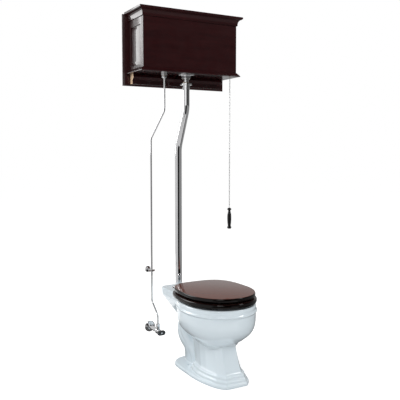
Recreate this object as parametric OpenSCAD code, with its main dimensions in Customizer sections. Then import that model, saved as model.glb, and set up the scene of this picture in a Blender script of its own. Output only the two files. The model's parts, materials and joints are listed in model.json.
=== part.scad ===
// High tank pull chain toilet. Millimetres, +Z up, +X to the right, +Y to the wall.
// The origin is the centre of the floor outlet, on the floor.

/* [Setting out] */
// Distance from the floor outlet to the finished wall
rough_in = 305; // [300:1:320]
// Height of the rim of the bowl above the floor
rim_z = 388; // [376:1:400]
// Height of the underside of the tank above the floor
tank_z = 1556; // [1450:1:1700]

/* [Bowl] */
// Front of the rim, measured forward from the floor outlet
rim_front = 384; // [370:1:395]
// Width of the rim
rim_w = 370; // [354:1:380]
// Back of the deck, measured back from the floor outlet
deck_back = 292; // [286:1:296]
// Width of the deck that carries the seat hinge
deck_w = 214; // [204:1:224]
// Height of the plain band round the rim
rim_band_h = 32; // [26:1:36]
// How far the bead under the band stands out
rim_bead = 5; // [3:0.5:6]
// Thickness of the vitreous china walls
china_wall = 14; // [12:0.5:16]
// Width of the rim seen from above
rim_land = 46; // [42:1:50]
// Depth of the basin below the rim
basin_depth = 276; // [266:1:282]
// Width of the neck between basin and pedestal
neck_w = 184; // [176:1:192]
// Height of the neck above the floor
neck_z = 186; // [180:1:192]
// Front of the neck, measured forward from the floor outlet
neck_front = 280; // [272:1:288]

/* [Foot] */
// Width of the foot
foot_w = 258; // [246:1:268]
// Front of the foot, measured forward from the floor outlet
foot_front = 362; // [352:1:370]
// Back of the foot, measured back from the floor outlet
foot_back = 138; // [130:1:146]
// Width of the flat front edge of the foot
foot_nose_w = 118; // [108:1:128]
// Height of one step of the foot
tier_h = 18; // [15:0.5:20]
// How far each step is set in from the one below
tier_inset = 9.5; // [8:0.5:11]
// Distance between the two floor bolt holes
closet_bolt_pitch = 152.4; // [148:0.1:156]
// Diameter of the floor bolt holes
closet_bolt_d = 11; // [9:0.5:12]
// Diameter of the floor outlet
outlet_d = 60; // [56:1:64]
// Outer diameter of the trapway
trap_d = 106; // [100:1:110]
// Radius of the trapway's bend over the weir, on its centre line
weir_r = 60; // [57:1:63]
// Height of the trapway's centre at the weir
weir_z = 232; // [226:1:238]

/* [Inlet] */
// Depth of the inlet socket
horn_socket_h = 30; // [28:1:34]
// Thickness of the deck at the seat bolts
deck_shelf = 22; // [18:1:26]

/* [Seat] */
// Length of the seat ring
ring_l = 462; // [450:1:470]
// Width of the seat ring
ring_w = 376; // [366:1:384]
// Thickness of the seat ring
ring_t = 22; // [19:0.5:24]
// Width of the wood at the sides of the ring
ring_land = 82; // [76:1:86]
// Thickness of the lid
lid_t = 20; // [17:0.5:22]
// How far the lid is set in from the edge of the ring
lid_inset = 7; // [5:0.5:9]
// Height of the rubber bumpers
bumper_h = 8; // [7:0.5:9]
// Distance between the two hinge posts
hinge_pitch = 140; // [134:1:146]
// Diameter of the hinge rod
hinge_rod_d = 8; // [7:0.5:9]

/* [Flush pipe] */
// Outer diameter of the flush pipe
flush_d = 38; // [35:0.5:40]
// Wall of the flush pipe
flush_wall = 1.5; // [1:0.1:2]
// Drop from the underside of the tank to the upper bend
flush_drop = 184; // [156:1:216]
// Height of the slanted stretch
flush_slant_h = 204; // [172:1:232]
// Radius of the bends, on the centre line
flush_bend_r = 120; // [90:1:150]
// Distance from the wall to the lower stretch
flush_wall_gap = 47; // [45:1:50]

/* [Supply] */
// Outer diameter of the supply pipe
supply_d = 10; // [9:0.5:11]
// Wall of the supply pipe
supply_wall = 1; // [0.7:0.1:1.2]
// Sideways place of the float valve and the top of the supply pipe
supply_x = -130; // [-136:1:-124]
// Sideways place of the lower stretch
supply_low_x = -170; // [-176:1:-164]
// Sideways place of the stop valve
valve_x = -160; // [-164:1:-154]
// Distance from the wall to the lower stretch
supply_wall_gap = 52; // [50:1:56]
// Drop from the underside of the tank to the uppermost bend
supply_drop = 194; // [166:1:226]
// Height of the upper slanted stretch
supply_slant_h = 148; // [122:1:172]
// Rise from the stop valve to the lowest bend
supply_rise = 88; // [80:1:98]
// Height of the lower slanted stretch
supply_low_slant_h = 70; // [60:1:80]
// Radius of the bends, on the centre line
supply_bend_r = 40; // [34:1:50]
// Height of the wall clamp
clamp_z = 488; // [450:1:540]
// Height of the stop valve
valve_z = 160; // [152:1:166]
// Distance from the wall to the centre of the stop valve
valve_gap = 106; // [98:1:110]
// Diameter of the wall escutcheon
escutcheon_d = 62; // [56:1:66]
// Length of the oval handle
valve_handle_l = 46; // [40:1:50]

/* [Tank] */
// Width of the tank
tank_w = 560; // [552:1:570]
// Depth of the tank in front of the wall board
tank_d = 185; // [182:1:192]
// Height of the tank's sides
tank_h = 276; // [270:1:290]
// Thickness of the boards
board_t = 15; // [14:0.5:16]
// Width of the frame round each side panel
stile_w = 30; // [26:1:34]
// How far the raised side panel stands out
panel_raise = 7; // [5:0.5:9]
// Height of the crown
crown_h = 46; // [42:1:50]
// How far the crown stands out
crown_out = 27; // [24:1:30]
// Thickness of the top board
top_t = 14; // [12:0.5:18]
// Height of the base moulding
base_h = 21; // [18:1:24]
// How far the base moulding stands out
base_out = 17; // [15:1:19]

/* [Wall board] */
// How far the wall board reaches past each side of the tank
wall_board_reach = 32; // [26:1:38]
// Thickness of the wall board
wall_board_t = 20; // [18:0.5:22]
// How far the wall board reaches below the tank
wall_board_drop = 60; // [56:1:66]
// Depth of the ledge under the tank
ledge_d = 44; // [40:1:48]
// How far each end of the ledge is set in from the tank's side
ledge_inset = 6; // [2:1:12]
// Width of the bevel at the sides of the wall board
bevel_side = 22; // [16:1:26]
// Distance from the tank's sides to the wall screws
screw_inset = 40; // [36:1:46]

/* [Liner] */
// Thickness of the liner
liner_t = 2.5; // [2:0.1:3]
// Height of the liner
liner_h = 196; // [190:1:204]
// Width of the space for the chain beside the liner
chain_way = 34; // [32:1:38]
// Width of the rim of the liner
liner_rim = 8; // [6:0.5:9]

/* [Flush works] */
// Diameter of the flush valve's seat
valve_seat_d = 66; // [62:1:70]
// Height of the overflow tube above the liner's floor
overflow_h = 158; // [150:1:164]
// Diameter of the overflow tube
overflow_d = 25; // [22:0.5:28]
// Diameter of the lift rod
lift_rod_d = 6; // [5:0.5:7]
// Length of the lever's arm on the chain's side
chain_arm = 110; // [104:1:114]
// Height of the pivot above the rim of the liner
pivot_up = 16; // [15:0.5:18]
// Diameter of the pivot pin
pivot_d = 8; // [7:0.5:9]
// Greatest angle of the lever
lever_swing = 15; // [12:0.5:16]
// Diameter of the float
float_d = 84; // [78:1:86]
// Height of the float valve's head above the liner's floor
float_head_h = 128; // [122:1:132]

/* [Chain] */
// Distance from the tank's right side to the chain
chain_side = 25; // [24.5:0.5:27]
// Distance from the front of the tank to the chain
chain_back = 26; // [26:0.5:28]
// Diameter of the wire of a link
link_wire = 1.8; // [1.6:0.1:2]
// Length of one link, inside
link_l = 15.6; // [13:0.2:17]
// Width of one link, inside
link_w = 3; // [2.6:0.1:3.4]
// Number of links
link_n = 62; // [58:1:65]
// Length of the wooden handle
handle_l = 118; // [110:1:126]
// Greatest diameter of the wooden handle
handle_d = 25; // [22:0.5:28]

/* [Hidden] */

// Fits between pieces
run_fit = 0.06;
seat_gap = 0.3;
loose_gap = 1;
// Gap between flat faces that meet, and how far a cut runs past the faces it goes through
touch = 0.1;
past = 1;
round_fn = 48;
fine_fn = 24;
loft_n = 48;

// Planes of the wall and the tank
wall_y = rough_in;
board_y = wall_y - wall_board_t;
tank_front_y = board_y - tank_d;
tank_top_z = tank_z + tank_h;
crown_top_z = tank_top_z + crown_h;
floor_z = tank_z + board_t;
half_w = tank_w / 2;
chain_x = half_w - chain_side;
pivot_x = chain_x - chain_arm;
carcass_h = tank_h + crown_h - top_t;

// Colours of the finishes
china_colour = "aliceblue";
wood_colour = "#3a1a16";
chrome_colour = "silver";
brass_colour = "goldenrod";
rubber_colour = "#202020";
plastic_colour = "whitesmoke";
copper_colour = "peru";

// ---- Shared forms -------------------------------------------------------

function powered(v, e) = sign(v) * pow(abs(v), 2 / e);

// Closed egg outline, widest at wide_y; its front may be cut off flat by nose
function egg(front_y, back_y, wide_y, half, e_front = 2, e_back = 2.6) = [
    for (i = [0 : loft_n - 1])
        let (a = 360 * (i + 0.5) / loft_n, s = sin(a), e = s > 0 ? e_back : e_front)
        [half * powered(cos(a), e),
         wide_y + (s > 0 ? back_y - wide_y : wide_y - front_y) * powered(s, e)]];

function at_z(outline, z) = [for (p = outline) [p.x, p.y, z]];

// Skin over rings of points, listed from the bottom up, closed by flat ends
module skin(rings) {
    n = len(rings[0]);
    m = len(rings);
    points = [for (r = rings) each r];
    sides = [for (i = [0 : m - 2], j = [0 : n - 1])
        let (a = i * n + j, b = i * n + (j + 1) % n, c = a + n, d = b + n)
        each [[a, c, d], [a, d, b]]];
    polyhedron(points, concat([[for (j = [0 : n - 1]) j]], sides,
        [[for (j = [n - 1 : -1 : 0]) (m - 1) * n + j]]), convexity = 6);
}

// Skin over closed profiles that run round in a loop
module loop_skin(rings) {
    n = len(rings[0]);
    m = len(rings);
    points = [for (r = rings) each r];
    sides = [for (i = [0 : m - 1], j = [0 : n - 1])
        let (k = (i + 1) % m, a = i * n + j, b = i * n + (j + 1) % n,
             c = k * n + j, d = k * n + (j + 1) % n)
        each [[a, c, d], [a, d, b]]];
    polyhedron(points, sides, convexity = 6);
}

// Ring of points of radius r about c, square to direction t
function ring_about(c, t, r, n) =
    let (u = unit(cross([0, 1, 0], t)), v = cross(t, u))
    [for (j = [0 : n - 1]) c + r * (cos(360 * j / n) * u + sin(360 * j / n) * v)];

// A round bar, or a bore, from one height to another
module rod(r, z0, z1, fn = round_fn) {
    translate([0, 0, z0]) cylinder(r = r, h = z1 - z0, $fn = fn);
}

module ring_between(r_out, r_in, z0, z1, fn = round_fn) {
    difference() {
        rod(r_out, z0, z1, fn);
        rod(r_in, z0 - past, z1 + past, fn);
    }
}

// Six-sided nut body across flats af
module hex(af, z0, z1) {
    translate([0, 0, z0]) cylinder(d = af / cos(30), h = z1 - z0, $fn = 6);
}

// Straight bar from point a to point b
module bar_between(a, b, r, fn = fine_fn) {
    d = b - a;
    l = norm(d);
    translate(a) rotate([0, acos(d.z / l), atan2(d.y, d.x)]) cylinder(r = r, h = l, $fn = fn);
}

// Route through points with round bends, as [place, direction] pairs
function unit(v) = v / norm(v);
function bend(a, p, b, r, steps) =
    let (d1 = unit(p - a), d2 = unit(b - p), turn = acos(d1 * d2),
         inward = unit(d2 - d1), centre = p + inward * r / cos(turn / 2),
         start = p - d1 * r * tan(turn / 2), n = unit(centre - start))
    [for (k = [0 : steps])
        let (f = turn * k / steps)
        [centre - n * r * cos(f) + d1 * r * sin(f), n * sin(f) + d1 * cos(f)]];

function route(p, r, steps) = concat(
    [[p[0], unit(p[1] - p[0])]],
    [for (i = [1 : len(p) - 2]) each bend(p[i - 1], p[i], p[i + 1], r, steps)],
    [[p[len(p) - 1], unit(p[len(p) - 1] - p[len(p) - 2])]]);

// Solid bar along a route that climbs
module swept_bar(way, r, n) {
    skin([for (w = way) ring_about(w[0], w[1], r, n)]);
}

// Tube along a route, its bore running out past both ends
module swept_tube(p, r, wall, bend_r, steps, n) {
    way = route(p, bend_r, steps);
    last = len(way) - 1;
    difference() {
        swept_bar(way, r, n);
        swept_bar(concat([[way[0][0] - way[0][1], way[0][1]]], way,
            [[way[last][0] + way[last][1], way[last][1]]]), r - wall, n);
    }
}

// ---- Bowl ---------------------------------------------------------------

rim_half = rim_w / 2;
wide_y = -rim_front + rim_half * 1.12;
seat_back_y = 78;
basin_back_y = 18;
bead_z = rim_z - rim_band_h;
neck_back_y = -6;

// Outer skin of the bowl: [z, how far inside the rim's outline, share of the way to the neck]
bowl_levels = [[neck_z - 12, 0, 1.04], [neck_z, 0, 1], [neck_z + 10, 0, 0.86],
    [neck_z + 25, 0, 0.65], [neck_z + 46, 0, 0.38], [neck_z + 64, 0, 0.21],
    [neck_z + 84, 0, 0.10], [neck_z + 112, 0, 0.03], [bead_z - 22, 1, 0], [bead_z - 9, 3, 0],
    [bead_z - 4, -rim_bead, 0], [bead_z + 2, -rim_bead, 0], [bead_z + 7, 1, 0],
    [rim_z - 14, 0, 0], [rim_z - 5, 1.5, 0], [rim_z - 1.5, 4, 0], [rim_z, 8, 0]];

function mix(a, b, t) = a + (b - a) * t;

function bowl_ring(level) =
    let (z = level[0], inset = level[1], t = level[2],
         half = mix(rim_half - inset, neck_w / 2, t),
         front_y = mix(-rim_front + inset, -neck_front, t),
         back_y = mix(basin_back_y + 40, neck_back_y, t),
         mid_y = mix(wide_y, -neck_front + neck_w / 2, t))
    at_z(egg(front_y, back_y, mid_y, half, mix(2, 2.5, t), 2.5), z);

// Deck behind the basin, as wide outlines that run back past the inlet
horn_y = wall_y - flush_wall_gap;
deck_corner_r = 46;

function deck_outline(half, back) =
    let (r = deck_corner_r, corner = [for (a = [0 : 18 : 90])
        [half - r + r * cos(a), back - r + r * sin(a)]])
    concat([[-half, basin_back_y - 60], [half, basin_back_y - 60]], corner,
        [for (i = [len(corner) - 1 : -1 : 0]) [-corner[i].x, corner[i].y]]);

// The underside narrows and runs forward to the trapway
function deck_ring(z, pinch, slide) =
    [for (p = deck_outline(deck_w / 2, deck_back))
        let (far = max(0, p.y - basin_back_y) / (deck_back - basin_back_y))
        [p.x * (1 - pinch), p.y - slide * far, z]];

// Levels of the underside: drop from the rim, pinch and forward slide
deck_levels = [[172, 0.56, 160], [148, 0.47, 136], [120, 0.36, 106], [96, 0.25, 76],
    [76, 0.16, 50], [56, 0.08, 24], [horn_socket_h + 8, 0.02, 3], [12, 0, 0], [5, 0, 0],
    [1, 0.012, 1], [0, 0.03, 4]];

module deck_and_horn() {
    skin([for (l = deck_levels) deck_ring(rim_z - l[0], l[1], l[2])]);
}

// Basin: [z, inset from the rim's outline, share of the way to the sump]
basin_low_z = rim_z - basin_depth;
sump_half = 54;
sump_front = 186;
basin_levels = [[basin_low_z, 1.08], [basin_low_z + 8, 1], [basin_low_z + 54, 0.93],
    [basin_low_z + 80, 0.66], [basin_low_z + 104, 0.36], [basin_low_z + 128, 0.18],
    [basin_low_z + 158, 0.08], [basin_low_z + 188, 0.04], [bead_z - 8, 0.02],
    [rim_z - 14, 0], [rim_z - 4, -0.01], [rim_z + 2, -0.04]];

function basin_ring(level) =
    let (z = level[0], t = level[1],
         half = mix(rim_half - rim_land, sump_half, t),
         front_y = mix(-rim_front + rim_land, -sump_front, t),
         back_y = mix(basin_back_y, neck_back_y - 56, t))
    at_z(egg(front_y, back_y, mix(wide_y, -122, t), half, 2, 2.3), z);

// Foot outline: blunt front, chamfered corners, sides to a rounded back
function foot_outline(inset, back) =
    let (h = foot_w / 2 - inset, f = foot_front - inset, nose = foot_nose_w / 2 - inset * 0.42,
         b = back)
    [[nose, -f], [nose + (h - nose) * 0.50, -f + 44], [h - 10, -f + 128], [h, -f + 210],
     [h, -f + 290], [h * 0.97, b - 96], [h * 0.86, b - 52], [h * 0.66, b - 22],
     [h * 0.42, b - 6], [h * 0.16, b], [-h * 0.16, b], [-h * 0.42, b - 6],
     [-h * 0.66, b - 22], [-h * 0.86, b - 52],
     [-h * 0.97, b - 96], [-h, -f + 290], [-h, -f + 210], [-(h - 10), -f + 128],
     [-(nose + (h - nose) * 0.50), -f + 44], [-nose, -f]];

tier_3_z = 3 * tier_h;

module foot() {
    skin([at_z(foot_outline(1, foot_back - 1), 0), at_z(foot_outline(0, foot_back), 2),
        at_z(foot_outline(0, foot_back), tier_h - 5),
        at_z(foot_outline(2, foot_back - 2), tier_h - 1),
        at_z(foot_outline(6, foot_back - 6), tier_h)]);
}

// Upper steps and pedestal, which end in front of the outlet's bolts
function pedestal_outline(inset, back) =
    let (h = foot_w / 2 - inset, f = foot_front - inset, nose = foot_nose_w / 2 - inset * 0.42,
         reach = f + back)
    [[nose, -f], [nose + (h - nose) * 0.50, -f + reach * 0.14], [h - 10, -f + reach * 0.42],
     [h - 8, -f + reach * 0.60], [h - 16, -f + reach * 0.78], [h * 0.72, -f + reach * 0.93],
     [h * 0.4, back], [-h * 0.4, back], [-h * 0.72, -f + reach * 0.93],
     [-(h - 16), -f + reach * 0.78], [-(h - 8), -f + reach * 0.60],
     [-(h - 10), -f + reach * 0.42], [-(nose + (h - nose) * 0.50), -f + reach * 0.14],
     [-nose, -f]];

// Column narrows from the upper step to the neck in a hollow curve
neck_inset = foot_w / 2 - neck_w / 2 + 12;
function column_inset(t) = mix(3 * tier_inset + 3, neck_inset, pow(t, 0.62));
function column_push(t) = (foot_front - neck_inset - neck_front + 1) * pow(t, 0.8);

module pedestal() {
    lower = [for (k = [1, 2])
        each [at_z(pedestal_outline(k * tier_inset, -20 - 8 * k), k * tier_h - (k == 1 ? 3 : 0)),
            at_z(pedestal_outline(k * tier_inset, -20 - 8 * k), (k + 1) * tier_h - 5),
            at_z(pedestal_outline(k * tier_inset + 3, -22 - 8 * k), (k + 1) * tier_h - 1),
            at_z(pedestal_outline(k * tier_inset + 8, -26 - 8 * k), (k + 1) * tier_h)]];
    steps = 7;
    column = [for (i = [0 : steps]) let (t = i / steps)
        [for (p = pedestal_outline(column_inset(t), -44 + 18 * t))
            [p.x, p.y + column_push(t), mix(tier_3_z + 3, neck_z + 8, t)]]];
    skin(concat(lower, column));
}

// Hollow under the pedestal, open to the floor
module pedestal_hollow() {
    skin([at_z(pedestal_outline(3 * tier_inset + china_wall + 4, -58), -1),
        at_z(pedestal_outline(3 * tier_inset + china_wall + 6, -58), tier_3_z),
        at_z([for (p = pedestal_outline(neck_inset + china_wall - 4, -58))
            [p.x, p.y + 14]], basin_low_z - china_wall)]);
}

// Back leg round the trapway: [z, middle, half width, half length]
leg_levels = [[0, 40, 56, 92], [54, 46, 54, 90], [90, 66, 53, 80], [120, 80, 52, 84],
    [150, 118, 52, 66], [180, 138, 50, 58], [206, 146, 44, 46]];

function leg_ring(level, inset, z) =
    [for (a = [7.5 : 15 : 352.5])
        [(level[2] - inset) * cos(a), level[1] + (level[3] - inset) * sin(a), z]];

module back_leg() {
    skin([for (l = leg_levels) leg_ring(l, 0, l[0])]);
}

// Hollow in the back leg, open to the floor
module leg_hollow() {
    skin([leg_ring(leg_levels[0], china_wall, -1), leg_ring(leg_levels[1], china_wall, leg_levels[1][0]),
        leg_ring(leg_levels[2], china_wall, leg_levels[2][0] + 6)]);
}

// Trapway: up from the sump, over the weir and down to the outlet
trap_r = trap_d / 2;
outlet_h = 20;
outlet_bend_r = 70;
weir_y = foot_back + 72 - trap_r - weir_r;
weir_centre = [weir_y, weir_z - weir_r];
outlet_centre = [outlet_bend_r, outlet_h];
between_bends = weir_centre - outlet_centre;
// Lean of the straight stretch that touches both bends
trap_lean = asin((weir_r + outlet_bend_r) / norm(between_bends))
    + atan2(between_bends.x, between_bends.y);

function trap_point(y, z, dir) = [[0, y, z], [0, sin(dir), cos(dir)]];

// Last stretch down to the sump, as places and leans
trap_tail = [[-8, 172], [-50, 150], [-96, 142]];
trap_tail_lean = [-116, -106, -98];
weir_end = 128;

// Listed from the outlet up; dir is the lean from the vertical, towards the wall
trap_way = concat([trap_point(0, 0, 0)],
    [for (i = [0 : 3]) let (b = trap_lean * i / 3)
        trap_point(outlet_centre.x - outlet_bend_r * cos(b),
            outlet_centre.y + outlet_bend_r * sin(b), b)],
    [for (i = [0 : 7]) let (a = mix(-trap_lean, weir_end, i / 7))
        trap_point(weir_centre.x + weir_r * cos(a), weir_centre.y + weir_r * sin(a), -a)],
    [for (i = [0 : 2]) trap_point(trap_tail[i].x, trap_tail[i].y, trap_tail_lean[i])]);

function trap_ring(w, r, n) =
    [for (j = [0 : n - 1])
        let (a = 360 * (j + 0.5) / n)
        w[0] + r * (cos(a) * [1, 0, 0] + sin(a) * cross(w[1], [1, 0, 0]))];

module trapway() {
    skin([for (w = trap_way) trap_ring(w, trap_r, 20)]);
}

module trap_passage() {
    skin([for (i = [1 : len(trap_way) - 1]) trap_ring(trap_way[i], outlet_d / 2 - 1.5, 16)]);
    rod(outlet_d / 2, -past, outlet_h);
}

post_y = 106;
nut_recess_r = 14;
nut_recess_h = 168;
post_bore_d = 13;
inlet_way_r = 13;
inlet_way_drop = 44;
shelf_z = rim_z - deck_shelf;

// The casting is made in two pieces that meet at the neck: the basin with its deck, and what
// is below. Both carry the trapway, the basin and the passage on through them.
china_reach = 2 * rim_front;
// How many of the basin's and the outer skin's lowest levels reach past the neck
levels_below = 5;

module china_passages(levels) {
    skin([for (l = levels) basin_ring(l)]);
    trap_passage();
}

module bowl() color(china_colour) difference() {
    intersection() {
        union() {
            skin([for (l = bowl_levels) bowl_ring(l)]);
            deck_and_horn();
            trapway();
            back_leg();
        }
        translate([-china_reach / 2, -china_reach / 2, neck_z])
            cube([china_reach, china_reach, china_reach]);
    }
    china_passages(basin_levels);
    // Seat bolts, each with the recess from below that leaves room for its nut
    for (side = [-1, 1]) translate([side * hinge_pitch / 2, post_y, 0]) {
        rod(post_bore_d / 2, shelf_z - past, rim_z + past);
        rod(nut_recess_r, shelf_z - nut_recess_h, shelf_z);
    }
    // Inlet socket and the way from it into the rim
    translate([0, horn_y, 0]) rod(socket_r, rim_z - horn_socket_h, rim_z + past);
    bar_between([0, horn_y, rim_z - horn_socket_h + 8],
        [0, basin_back_y - 20, rim_z - inlet_way_drop], inlet_way_r);
}

module bowl_pedestal() color(china_colour) difference() {
    intersection() {
        union() {
            difference() {
                union() {
                    foot();
                    pedestal();
                    back_leg();
                }
                pedestal_hollow();
                leg_hollow();
            }
            skin([for (i = [0 : levels_below - 1]) bowl_ring(bowl_levels[i])]);
            trapway();
        }
        translate([-china_reach / 2, -china_reach / 2, -1])
            cube([china_reach, china_reach, neck_z + 1]);
    }
    china_passages([for (i = [0 : levels_below - 1]) basin_levels[i]]);
    for (side = [-1, 1]) translate([side * closet_bolt_pitch / 2, 0, 0])
        rod(closet_bolt_d / 2, -past, tier_h + past);
}

// ---- Inlet and flush pipe -----------------------------------------------

flush_r = flush_d / 2;
gasket_t = 5;
gasket_lip = 4;
gasket_lip_h = 3;
socket_r = flush_r + gasket_t + seat_gap / 3;
flush_from_front = 65;
flush_y = tank_front_y + flush_from_front;
flush_end_z = rim_z - horn_socket_h + 6;
tail_r = 15;
tail_t = 1;
flange_r = 46;
flange_low_r = 30;
flange_t = 5;
flange_bevel = 4;
flange_z = tank_z - flange_t;
slip_nut_af = 50;
slip_nut_h = 17;
slip_lip_r = 22;
slip_lip_h = 3;
slip_nut_z = flange_z - slip_nut_h;
// Collar on the pipe, from below: sleeve, ring, cone and tailpiece
sleeve_t = 3;
sleeve_h = 16;
collar_out = 13;
collar_h = 9;
cone_h = 6;
pipe_top_z = slip_nut_z - 32;
collar_top_z = pipe_top_z + collar_h;
flush_bend_top = tank_z - flush_drop;
flush_bend_low = flush_bend_top - flush_slant_h;
flush_route = [[0, horn_y, flush_end_z], [0, horn_y, flush_bend_low],
    [0, flush_y, flush_bend_top], [0, flush_y, pipe_top_z]];

module inlet_gasket() color(china_colour) translate([0, horn_y, 0]) {
    ring_between(socket_r - seat_gap / 3, flush_r + run_fit, flush_end_z, rim_z + gasket_lip_h);
    ring_between(socket_r + gasket_lip, flush_r + run_fit, rim_z + touch, rim_z + gasket_lip_h);
}

module flush_pipe() color(chrome_colour)
    swept_tube(flush_route, flush_r, flush_wall, flush_bend_r, 6, 24);

module flush_pipe_collar() color(chrome_colour) translate([0, flush_y, 0]) difference() {
    union() {
        rod(flush_r + sleeve_t, pipe_top_z - sleeve_h, pipe_top_z);
        rod(flush_r + collar_out, pipe_top_z, collar_top_z);
        translate([0, 0, collar_top_z])
            cylinder(r1 = flush_r + collar_out - 5, r2 = tail_r + 3, h = cone_h, $fn = round_fn);
        rod(tail_r + tail_t, collar_top_z + cone_h, slip_nut_z - touch);
    }
    rod(flush_r + run_fit, pipe_top_z - sleeve_h - past, pipe_top_z + run_fit);
    rod(tail_r - tail_t, pipe_top_z - past, slip_nut_z + past);
}

module tank_flange() color(chrome_colour) translate([0, flush_y, 0]) difference() {
    union() {
        rod(flange_r, flange_z + flange_bevel / 2, tank_z - touch);
        translate([0, 0, flange_z - flange_bevel / 2])
            cylinder(r1 = flange_low_r, r2 = flange_r, h = flange_bevel, $fn = round_fn);
    }
    rod(seat_shank_r + seat_gap, flange_z - flange_bevel, tank_z + past);
}

module tank_slip_nut() color(chrome_colour) translate([0, flush_y, 0]) difference() {
    union() {
        hex(slip_nut_af, slip_nut_z + slip_lip_h, flange_z - flange_bevel / 2 - touch);
        rod(slip_lip_r, slip_nut_z, slip_nut_z + slip_lip_h);
    }
    rod(seat_shank_r + run_fit, slip_nut_z - past, flange_z);
}

// ---- Seat ---------------------------------------------------------------

ring_z = rim_z + bumper_h;
ring_top_z = ring_z + ring_t;
lid_z = ring_top_z + bumper_h;
lid_top_z = lid_z + lid_t;
ring_front_y = seat_back_y - ring_l;
ring_half = ring_w / 2;
ring_wide_y = ring_front_y + ring_half * 1.14;
pin_drop = 2;
pin_z = ring_top_z - pin_drop;

// Rounded edge of a board of thickness t: [inset, share of the thickness]
edge_profile = [[6, 0], [1.6, 0.16], [0, 0.42], [0, 0.58], [1.6, 0.84], [6, 1]];

function seat_outline(inset, e_back = 3.2) =
    egg(ring_front_y + inset, seat_back_y - inset, ring_wide_y, ring_half - inset, 2.1, e_back);

ring_front_land = ring_land - 8;
ring_back_land = 118;
hole_front_y = ring_front_y + ring_front_land;
hole_back_y = seat_back_y - ring_back_land;
hole_half = ring_half - ring_land;

function hole_outline(inset) =
    egg(hole_front_y + inset, hole_back_y - inset, ring_wide_y - 4, hole_half - inset, 2.1, 2.2);

// Profile round one slice of the ring: up the outer edge and down the inner one
function ring_slice(k) = concat(
    [for (e = edge_profile)
        let (p = seat_outline(e[0])[k]) [p.x, p.y, ring_z + ring_t * e[1]]],
    [for (i = [len(edge_profile) - 1 : -1 : 0])
        let (e = edge_profile[i], p = hole_outline(-e[0])[k]) [p.x, p.y, ring_z + ring_t * e[1]]]);

module seat_ring() color(wood_colour)
    loop_skin([for (k = [loft_n - 1 : -1 : 0]) ring_slice(k)]);

// A lid board with a rounded edge
module seat_lid() color(wood_colour) {
    skin([for (e = edge_profile)
        at_z(seat_outline(lid_inset + e[0]), lid_z + lid_t * e[1])]);
}

bumper_r = 9;
bumper_lip_h = 2;

module bumper_set(z, places) {
    for (p = places)
        translate([p.x, p.y, z]) {
            cylinder(r = bumper_r - 1, h = bumper_h - bumper_lip_h, $fn = fine_fn);
            translate([0, 0, bumper_h - bumper_lip_h])
                cylinder(r = bumper_r, h = bumper_lip_h, $fn = fine_fn);
        }
}

bumper_half = 150;
bumper_side_back = 270;
bumper_side_y = ring_front_y + bumper_side_back;
bumper_front_half = 112;
bumper_front_back = 70;
bumper_front_y = ring_front_y + bumper_front_back;
lid_bumper_half = 78;
lid_bumper_out = 6;
ring_bumper_places = [for (side = [-1, 1])
    each [[side * bumper_front_half, bumper_front_y], [side * bumper_half, bumper_side_y]]];
lid_bumper_places = [for (side = [-1, 1])
    each [[side * lid_bumper_half, bumper_front_y - lid_bumper_out], [side * bumper_half, bumper_side_y]]];

module seat_ring_bumpers() color(rubber_colour) bumper_set(rim_z, ring_bumper_places);

module seat_lid_bumpers() color(rubber_colour) bumper_set(ring_top_z, lid_bumper_places);

// Hinge: posts on the deck hold the rod; leaves turn on it
pin_r = hinge_rod_d / 2;
knuckle_r = pin_r + 4;
leaf_t = 3;
leaf_reach = 56;
post_w = 16;
post_foot_r = 14;
post_foot_h = 5;
bolt_r = 4;
bolt_drop = 14;
rod_over = 42;
rod_head_out = 2;
rod_head_h = 4;
seat_nut_af = 16;
seat_nut_drop = 10;
seat_washer_r = 12;
seat_washer_t = 2;
ring_leaf_x = hinge_pitch / 2 - 26;
lid_leaf_x = hinge_pitch / 2 + 26;
knuckle_w = 22;

module leaf(x, plate_z) {
    difference() {
        union() {
            translate([x - knuckle_w / 2, post_y, pin_z]) rotate([0, 90, 0])
                cylinder(r = knuckle_r, h = knuckle_w, $fn = fine_fn);
            translate([x - knuckle_w / 2, seat_back_y - leaf_reach, plate_z])
                cube([knuckle_w, post_y - seat_back_y + leaf_reach, leaf_t]);
            // Web from the plate to the knuckle, behind the seat's back edge
            translate([x - knuckle_w / 2, post_y - leaf_t, min(plate_z, pin_z)])
                cube([knuckle_w, leaf_t, abs(plate_z - pin_z) + leaf_t / 2]);
        }
        translate([x - knuckle_w, post_y, pin_z]) rotate([0, 90, 0])
            cylinder(r = pin_r + run_fit, h = 2 * knuckle_w, $fn = fine_fn);
    }
}

module seat_ring_leaves() color(chrome_colour)
    for (side = [-1, 1]) leaf(side * ring_leaf_x, ring_z - leaf_t);

module seat_lid_leaves() color(chrome_colour)
    for (side = [-1, 1]) leaf(side * lid_leaf_x, lid_z - leaf_t);

module hinge_posts() color(chrome_colour)
    for (side = [-1, 1]) difference() {
        translate([side * hinge_pitch / 2, post_y, 0]) union() {
            rod(post_foot_r, rim_z + touch, rim_z + post_foot_h);
            rod(post_w / 2, rim_z + post_foot_h, pin_z);
            translate([-post_w / 2, 0, pin_z]) rotate([0, 90, 0])
                cylinder(r = knuckle_r + 1, h = post_w, $fn = fine_fn);
            rod(bolt_r, shelf_z - bolt_drop, rim_z + past);
        }
        translate([side * hinge_pitch / 2 - post_w, post_y, pin_z]) rotate([0, 90, 0])
            cylinder(r = pin_r + run_fit, h = 2 * post_w, $fn = fine_fn);
    }

module hinge_rod() color(chrome_colour)
    translate([-hinge_pitch / 2 - rod_over, post_y, pin_z]) rotate([0, 90, 0]) {
        cylinder(r = pin_r, h = hinge_pitch + 2 * rod_over, $fn = fine_fn);
        for (z = [-rod_head_h, hinge_pitch + 2 * rod_over]) translate([0, 0, z])
            cylinder(r = pin_r + rod_head_out, h = rod_head_h, $fn = fine_fn);
    }

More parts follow.
